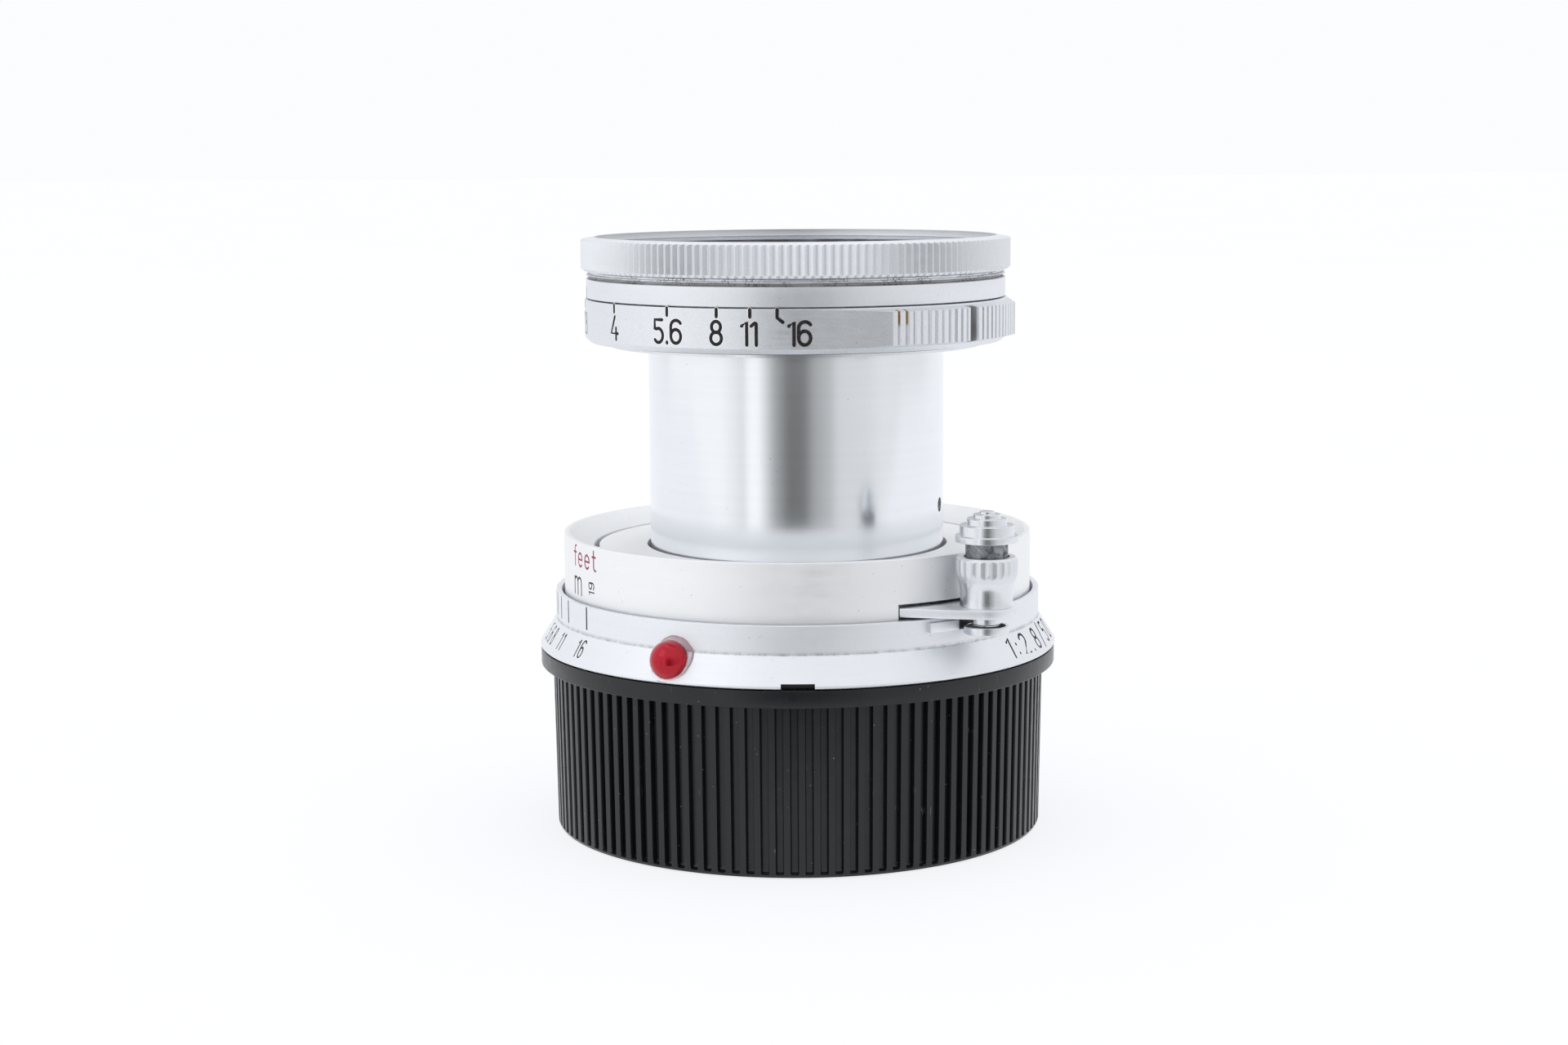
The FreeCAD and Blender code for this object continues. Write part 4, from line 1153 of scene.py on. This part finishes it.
def make_front_ring():
    """The knurled front with its filter thread."""
    r, low, rim_z = reach("front_ring")
    teeth, depth = sizes().front_teeth, 0.28
    high, rim_r, thread_r, seat_z, bore_r = 57.94, 19.62, 19.25, 55.3, 16.9
    z, last_turn, pitch = 57.0, 55.8, 0.4
    outline = [(bore_r, low), (r - 0.45, low), (r - 0.36, low + 0.04), (r, low + 0.3), (r, low + 0.36),
               (r, high - 0.12), (r - 0.06, high - 0.04), (r - 0.14, high), (r - 0.28, high + 0.022)]
    outline += [(rim_r + 0.06, rim_z - 0.01), (rim_r, rim_z), (rim_r - 0.03, rim_z - 0.04)]
    outline += [(rim_r + out, z) for out, z in ((-0.04, 57.82), (-0.12, 57.5), (0.1, 57.46), (0.1, 57.24))]
    outline += [(thread_r, 57.18), (thread_r, 57.1)]
    while z > last_turn:
        outline += [(thread_r + deep, z - down) for deep, down in
                    ((0.24, 0.06), (0.24, 0.18), (0.0, 0.26), (0.0, pitch))]
        z -= pitch
    outline += [(thread_r, seat_z), (bore_r, seat_z)]

    def toothed(azimuth, r_here, z_here):
        share = azimuth * teeth / 360.0 % 1.0
        return min(r_here, r - depth * (1.0 - abs(2.0 * share - 1.0)))

    shares = (0.0, 0.05, 0.28, 0.47, 0.53, 0.72, 0.95)
    azimuths = [(tooth + share) * 360.0 / teeth for tooth in range(teeth) for share in shares]
    ring = new_piece("knurled_front", *turned(outline, azimuths, toothed), sharp=18.0)
    fit(ring, "barrel_body", "satin_chrome", "knurled", "front_ring")


def make_front_glass():
    """The dark name ring, with fine steps down to the glass, and the front element."""
    _, low, high = reach("name_ring")
    bore_r, rim_r, lip_r, top_r, steps = 10.7, 16.8, 15.6, 15.5, 8
    outline = [(bore_r, low), (rim_r, low), (rim_r, high), (lip_r, high), (top_r, high - 0.1)]
    for step in range(1, steps + 1):
        z = high - 0.1 - (high - 0.5 - low) * step / steps
        r = top_r - (top_r - bore_r) * step / steps
        outline += [(r + 0.1, z), (r, z)]
    ring = turned_piece("name_ring_black", outline, 0.0, evenly(240))
    fit(ring, "barrel_body", "black_anodised", "anodised", "name_ring")
    glass_r, _, vertex = reach("front_element")
    curve, back_z, steps = 30.0, 52.2, 24
    outline = [(0.0, vertex)]
    for step in range(1, steps + 1):
        r = glass_r * step / steps
        outline.append((r, vertex - (curve - sqrt(curve * curve - r * r))))
    outline += [(glass_r, back_z), (0.0, back_z)]
    glass = new_piece("front_glass", *turned(outline, evenly(180)), sharp=25.0)
    fit(glass, "barrel_body", "optical_glass", "glass", "front_element")


def make_inner_works():
    """Finishes for the parts inside, seen through the glass, from behind or with the cap away."""
    refinish("greasy", "fixed_helicoid", "focus_helicoid")
    refinish("brass", "cam_guide_key", "cam_sleeve", "cam_retaining_ring", "barrel_guide_bush",
             "barrel_lug_ring", "iris_cam_ring", "aperture_drive_pin")
    refinish("anodised", "light_baffle", "front_cell", "rear_cell", "front_retaining_ring",
             "element_spacer", "rear_retaining_ring", "iris_housing")
    refinish("bright", "bayonet_flange", "head_base_plate")
    refinish("steel", "bayonet_screws", "base_plate_screws", "click_ball")
    refinish("spring", "lock_spring", "click_spring", "barrel_brake_ring")
    refinish("glass", "second_element", "rear_doublet_front", "rear_doublet_back")
    refinish("blade", *["iris_blade_%02d" % (i + 1) for i in range(10)])


def make_aperture_numbers():
    """The f-numbers on the aperture ring, and the index line above them."""
    wall = on_wall(COLLAR_R)
    top, base, height, widest = 52.1, 48.9, 2.1, -81.5
    marks = []
    for text, azimuth, middle in (("4", -55.6, -55.6), ("5.6", -35.0, -35.0), ("8", -20.5, -20.6),
                                  ("11", -11.65, -11.9), ("16", -4.7, 1.0)):
        marks.append((middle, lettering(text, height, base)))
        if text == "16":
            marks.append((azimuth, [[(0.0, top), (0.0, top - 0.72), (0.5, top - 1.12)]]))
        else:
            marks.append((azimuth, tick(top, top - 0.65)))
    engrave("aperture_numbers", marks, wall, sizes().stroke / MM, "aperture_body", "satin_chrome")
    marks = [(widest, lettering("2.8", height, base)), (widest, tick(top, top - 0.65))]
    engrave("widest_number", marks, wall, 0.12, "aperture_body", "satin_chrome")
    index = [(widest, tick(52.4, 53.3))]
    engrave("aperture_index", index, on_wall(INDEX_R), 0.3, "barrel_body", "satin_chrome")


# Distances, each with how far the focusing ring turns from infinity to reach it, in degrees
METRES = (("10", 16.3), ("5", 32.7), ("3", 54.8), ("2", 83.0), ("1.5", 111.6), ("1.2", 140.8), ("1", 170.4))
FEET = (("30", 17.9), ("15", 35.8), ("10", 53.9), ("8", 67.7), ("6", 91.0), ("5", 110.0), ("4", 138.6),
        ("3.5", 159.0))


def make_distance_scale():
    """Metres in black below, feet in red above; infinity stands at azimuth -90 at rest."""
    wall, body, slot = on_wall(FOCUS_R), "focus_body", "focus_ring_chrome"
    thin = sizes().stroke / MM * 0.6
    metres = [(-66.0, lettering("m", 2.4, 24.25)), (-90.0, lettering("inf", 2.0, 24.6))]
    for text, turn in METRES:
        metres.append((-90.0 - turn, lettering(text, 1.8, 24.2)))
        metres.append((-90.0 - turn, tick(20.9, 23.4)))
    engrave("metre_scale", metres, wall, thin, body, slot)
    small = [(-58.1, lettering("19", 1.05, 24.62, gap=0.3, quarter_turn=True))]
    engrave("small_number", small, wall, 0.15, body, slot)
    feet = [(-62.2, lettering("feet", 1.95, 27.0, gap=0.32)), (-90.0, lettering("inf", 2.0, 27.0))]
    feet += [(-90.0 - turn, lettering(text, 1.8, 27.1)) for text, turn in FEET]
    engrave("feet_scale", feet, wall, thin, body, slot, "red paint")


def make_depth_scale():
    """Depth-of-field lines on the fixed ring's wall; their numbers and the lens's speed on its cone."""
    wall, cone = on_wall(SCALE_WALL_R), on_cone(SKIRT_R, SKIRT_Z, SCALE_WALL_R, CREASE_Z)
    degrees_per_stop = 2.08
    lines, numbers = [(-90.0, tick(21.1, 23.5))], []
    for text in ("4", "5.6", "8", "11", "16"):
        for side in (-1, 1):
            azimuth = -90.0 + side * degrees_per_stop * float(text)
            lines.append((azimuth, tick(21.5, 23.5)))
            if text != "4":
                numbers.append((azimuth, lettering(text, 1.75, 0.72, gap=0.45, narrow=0.62)))
    speed = [(68.5, lettering("1:2.8/50", 2.0, 0.55, gap=0.5))]
    engrave("depth_lines", lines, wall, 0.24, "mount_body", "satin_chrome")
    engrave("depth_numbers", numbers, cone, 0.2, "mount_body", "satin_chrome")
    engrave("speed_marking", speed, cone, 0.29, "mount_body", "satin_chrome")


def make_studio():
    """Floor, soft light all round with a shaded side towards the camera, and the camera."""
    scene = bpy.context.scene
    scene.view_settings.view_transform = "Standard"
    scene.view_settings.look = "None"
    make_sheets()
    make_surroundings(scene)
    make_softboxes(scene)
    make_camera(scene)


def make_sheets():
    """One pale sheet for the eye, and one for reflections only, which begins nearer the lens."""
    far, front = SHEET_SIZE, sizes().sheet_front / MM
    for name, near, seen, drop in (("studio_sheet", -far, True, 0.02), ("bounce_sheet", -front, False, 0.04)):
        corners = [(-far, near, 0), (far, near, 0), (far, far, 0), (-far, far, 0)]
        sheet = new_piece(name, corners, [(0, 1, 2, 3)])
        sheet.location.z = -drop * MM
        sheet.visible_camera = sheet.visible_diffuse = sheet.visible_shadow = seen
        sheet.visible_glossy = not seen
        sheet.data.materials.append(finish("floor"))


def make_softboxes(scene):
    """Two square softboxes, on the left and above, aimed at the lens."""
    for name, place, size, power in (("left_softbox", (-0.55, -0.35, 0.6), 0.5, sizes().left_light),
                                     ("top_softbox", (0.1, 0.25, 0.9), 0.7, sizes().top_light)):
        lamp = bpy.data.lights.new(name, "AREA")
        lamp.shape, lamp.size, lamp.energy = "SQUARE", size, power
        lamp.color = (0.97, 0.985, 1.0)
        softbox = bpy.data.objects.new(name, lamp)
        softbox.location = place
        softbox.rotation_euler = (Vector((0, 0, 0.03)) - Vector(place)).to_track_quat("-Z", "Y").to_euler()
        scene.collection.objects.link(softbox)


def make_camera(scene):
    """The camera, in front and a little above, tilted down with a slight yaw and roll."""
    camera = bpy.data.objects.new("camera", bpy.data.cameras.new("camera"))
    camera.data.lens = CAMERA_LENS
    camera.data.sensor_width = 36.0
    camera.data.clip_start, camera.data.clip_end = 0.01, 50.0
    pitch, yaw, roll = (radians(turn) for turn in CAMERA_TURN)
    ahead = Vector((sin(yaw) * cos(pitch), cos(yaw) * cos(pitch), -sin(pitch)))
    right = Vector((cos(yaw), -sin(yaw), 0.0))
    up = right.cross(ahead)
    side = right * cos(roll) + up * sin(roll)
    crown = up * cos(roll) - right * sin(roll)
    place = Vector(CAMERA_PLACE) * MM
    rows = [(side[i], crown[i], -ahead[i], place[i]) for i in range(3)]
    camera.matrix_world = Matrix(rows + [(0, 0, 0, 1)])
    scene.collection.objects.link(camera)
    scene.camera = camera


# Brightness of the room at the height of the lens, by azimuth from the camera's side
ROOM = ((-180, 0.5), (-173, 0.55), (-164, 0.95), (-144, 0.95), (-120, 0.86), (-110, 1.0), (-60, 1.0),
        (-48, 0.88), (-41, 0.76), (-37, 1.05), (-29, 1.05), (-25, 0.8), (-17, 0.4), (-6, 0.16), (6, 0.18),
        (14, 0.4), (26, 0.52), (32, 0.7), (56, 0.74), (70, 0.82), (112, 0.78), (130, 0.88), (164, 0.95),
        (173, 0.55), (180, 0.5))


def make_surroundings(scene):
    """A white room whose camera side is darker below eye level; the camera itself sees plain white."""
    world = bpy.data.worlds.new("white_room")
    scene.world = world
    world.use_nodes = True
    tree = world.node_tree
    tree.nodes.clear()
    direction = add(tree, "ShaderNodeTexCoord").outputs["Generated"]
    x, y, z = add(tree, "ShaderNodeSeparateXYZ", {0: direction}).outputs
    azimuth = reckon(tree, "ARCTAN2", x, times(tree, y, -1.0))
    place = spread(tree, azimuth, -pi, pi)
    ramp = add(tree, "ShaderNodeValToRGB", {"Fac": place})
    stops = ramp.color_ramp.elements
    while len(stops) > 1:
        stops.remove(stops[0])
    for index, (degree, level) in enumerate(ROOM):
        stop = stops[0] if index == 0 else stops.new((degree + 180) / 360)
        stop.position = (degree + 180) / 360
        stop.color = (level * 0.985, level * 0.992, level, 1.0)
    above = spread(tree, z, 0.12, 0.62)
    white = opaque(colours().backdrop)
    seen = blend(tree, above, ramp.outputs["Color"], white)
    light = add(tree, "ShaderNodeBackground", {"Color": seen, "Strength": sizes().room_light})
    plain = add(tree, "ShaderNodeBackground", {"Color": white, "Strength": 1.0})
    camera_ray = add(tree, "ShaderNodeLightPath").outputs["Is Camera Ray"]
    both = add(tree, "ShaderNodeMixShader", {0: camera_ray, 1: light.outputs[0], 2: plain.outputs[0]})
    out = add(tree, "ShaderNodeOutputWorld")
    tree.links.new(both.outputs[0], out.inputs["Surface"])


# ---- add-on --------------------------------------------------------------------------------------

def length_of(name, description, default):
    return FloatProperty(name=name, description=description, default=default, unit="LENGTH", precision=5)


def count_of(name, description, default):
    return IntProperty(name=name, description=description, default=default, min=6)


class LensSizes(bpy.types.PropertyGroup):
    """Counts, sizes and light levels that the builders use."""
    cap_ribs: count_of("Cap ribs", "Ribs round the rear cap", 110)
    front_teeth: count_of("Front teeth", "Knurls round the front ring", 167)
    knob_flutes: count_of("Knob flutes", "Flutes round the focusing knob", 24)
    rib_depth: length_of("Rib depth", "How deep the cap's grooves are", 0.00055)
    stroke: length_of("Stroke", "Width of the aperture ring's engraved lines", 0.00036)
    sheet_front: length_of("Sheet front", "How far in front of the axis the reflected sheet begins", 0.075)
    room_light: FloatProperty(name="Room light", description="Strength of the light all round", default=1.06)
    floor_glow: FloatProperty(name="Floor glow", description="Light through the pale sheet", default=0.81)
    left_light: FloatProperty(name="Left softbox", description="Power of the softbox on the left",
                              default=0.35, unit="POWER")
    top_light: FloatProperty(name="Top softbox", description="Power of the softbox above", default=0.5,
                             unit="POWER")


def colour_of(name, description, default):
    return FloatVectorProperty(name=name, description=description, default=default, subtype="COLOR", size=3,
                               min=0.0, max=1.0)


class LensColours(bpy.types.PropertyGroup):
    """Colours that the finishes start from."""
    satin: colour_of("Satin chrome", "The rings of the head and the mount", (0.875, 0.9, 0.935))
    focus: colour_of("Focusing ring", "The paler chrome of the focusing ring", (0.93, 0.94, 0.95))
    bright: colour_of("Bright chrome", "The knob, the button and the small parts", (0.8, 0.82, 0.85))
    barrel: colour_of("Barrel", "The sliding tube", (0.88, 0.905, 0.935))
    brass: colour_of("Brass", "Bare brass", (0.5, 0.36, 0.2))
    plastic: colour_of("Cap", "The black plastic of the rear cap", (0.006, 0.0068, 0.0088))
    bead: colour_of("Bead", "The red index bead", (0.45, 0.001, 0.016))
    ink: colour_of("Black fill", "Paint in the engraved numbers", (0.012, 0.012, 0.014))
    feet_ink: colour_of("Red fill", "Paint in the feet scale", (0.3, 0.06, 0.09))
    floor: colour_of("Sheet", "The pale sheet it stands on", (0.97, 0.975, 1.0))
    backdrop: colour_of("Backdrop", "The white behind it", (0.975, 0.98, 1.0))


class LENS_OT_rear_cap(bpy.types.Operator):
    """Build the ribbed black cap"""
    bl_idname = "lens.rear_cap"
    bl_label = "Rear cap"

    def execute(self, context):
        make_rear_cap()
        return {"FINISHED"}


class LENS_OT_scale_ring(bpy.types.Operator):
    """Build the fixed ring, its bead and its stop"""
    bl_idname = "lens.scale_ring"
    bl_label = "Scale ring"

    def execute(self, context):
        make_scale_ring()
        return {"FINISHED"}


class LENS_OT_focusing_ring(bpy.types.Operator):
    """Build the focusing ring and its floor"""
    bl_idname = "lens.focusing_ring"
    bl_label = "Focusing ring"

    def execute(self, context):
        make_focusing_ring()
        return {"FINISHED"}


class LENS_OT_lever(bpy.types.Operator):
    """Build the lever, knob and lock button"""
    bl_idname = "lens.lever"
    bl_label = "Lever and knob"

    def execute(self, context):
        make_lever_and_knob()
        return {"FINISHED"}


class LENS_OT_barrel(bpy.types.Operator):
    """Build the sliding tube"""
    bl_idname = "lens.barrel"
    bl_label = "Barrel"

    def execute(self, context):
        make_barrel()
        return {"FINISHED"}


class LENS_OT_aperture_ring(bpy.types.Operator):
    """Build the ring with its finger grips"""
    bl_idname = "lens.aperture_ring"
    bl_label = "Aperture ring"

    def execute(self, context):
        make_aperture_ring()
        return {"FINISHED"}


class LENS_OT_head_rings(bpy.types.Operator):
    """Build the index band and hood groove"""
    bl_idname = "lens.head_rings"
    bl_label = "Head rings"

    def execute(self, context):
        make_head_rings()
        return {"FINISHED"}


class LENS_OT_front_ring(bpy.types.Operator):
    """Build the knurled front ring"""
    bl_idname = "lens.front_ring"
    bl_label = "Front ring"

    def execute(self, context):
        make_front_ring()
        return {"FINISHED"}


class LENS_OT_front_glass(bpy.types.Operator):
    """Build the name ring and front element"""
    bl_idname = "lens.front_glass"
    bl_label = "Front glass"

    def execute(self, context):
        make_front_glass()
        return {"FINISHED"}


class LENS_OT_inner_works(bpy.types.Operator):
    """Finish the parts inside"""
    bl_idname = "lens.inner_works"
    bl_label = "Inner works"

    def execute(self, context):
        make_inner_works()
        return {"FINISHED"}


class LENS_OT_engraving(bpy.types.Operator):
    """Engrave all the scales"""
    bl_idname = "lens.engraving"
    bl_label = "Engraving"

    def execute(self, context):
        make_aperture_numbers()
        make_distance_scale()
        make_depth_scale()
        return {"FINISHED"}


class LENS_OT_studio(bpy.types.Operator):
    """Set up the floor, light and camera"""
    bl_idname = "lens.studio"
    bl_label = "Studio"

    def execute(self, context):
        make_studio()
        return {"FINISHED"}


OPERATORS = (LENS_OT_rear_cap, LENS_OT_scale_ring, LENS_OT_focusing_ring, LENS_OT_lever,
             LENS_OT_barrel, LENS_OT_aperture_ring, LENS_OT_head_rings, LENS_OT_front_ring,
             LENS_OT_front_glass, LENS_OT_inner_works, LENS_OT_engraving, LENS_OT_studio)


class LENS_PT_panel(bpy.types.Panel):
    """Lists the builders, with the sizes and colours they use."""
    bl_label = "Lens"
    bl_idname = "LENS_PT_panel"
    bl_space_type = "VIEW_3D"
    bl_region_type = "UI"
    bl_category = "Lens"

    def draw(self, context):
        for operator in OPERATORS:
            self.layout.operator(operator.bl_idname)
        for kind, settings in ((LensSizes, sizes()), (LensColours, colours())):
            for name in kind.__annotations__:
                self.layout.prop(settings, name)


CLASSES = (LensSizes, LensColours) + OPERATORS + (LENS_PT_panel,)


def register():
    """Add the settings, the builders and the panel."""
    for cls in CLASSES:
        bpy.utils.register_class(cls)
    bpy.types.Scene.lens_sizes = PointerProperty(type=LensSizes)
    bpy.types.Scene.lens_colours = PointerProperty(type=LensColours)


def unregister():
    """Take them away again."""
    del bpy.types.Scene.lens_colours
    del bpy.types.Scene.lens_sizes
    for cls in reversed(CLASSES):
        bpy.utils.unregister_class(cls)


def main():
    """Run every builder in order."""
    register()
    for operator in OPERATORS:
        getattr(bpy.ops.lens, operator.bl_idname.split(".")[1])()


if __name__ == "__main__":
    main()
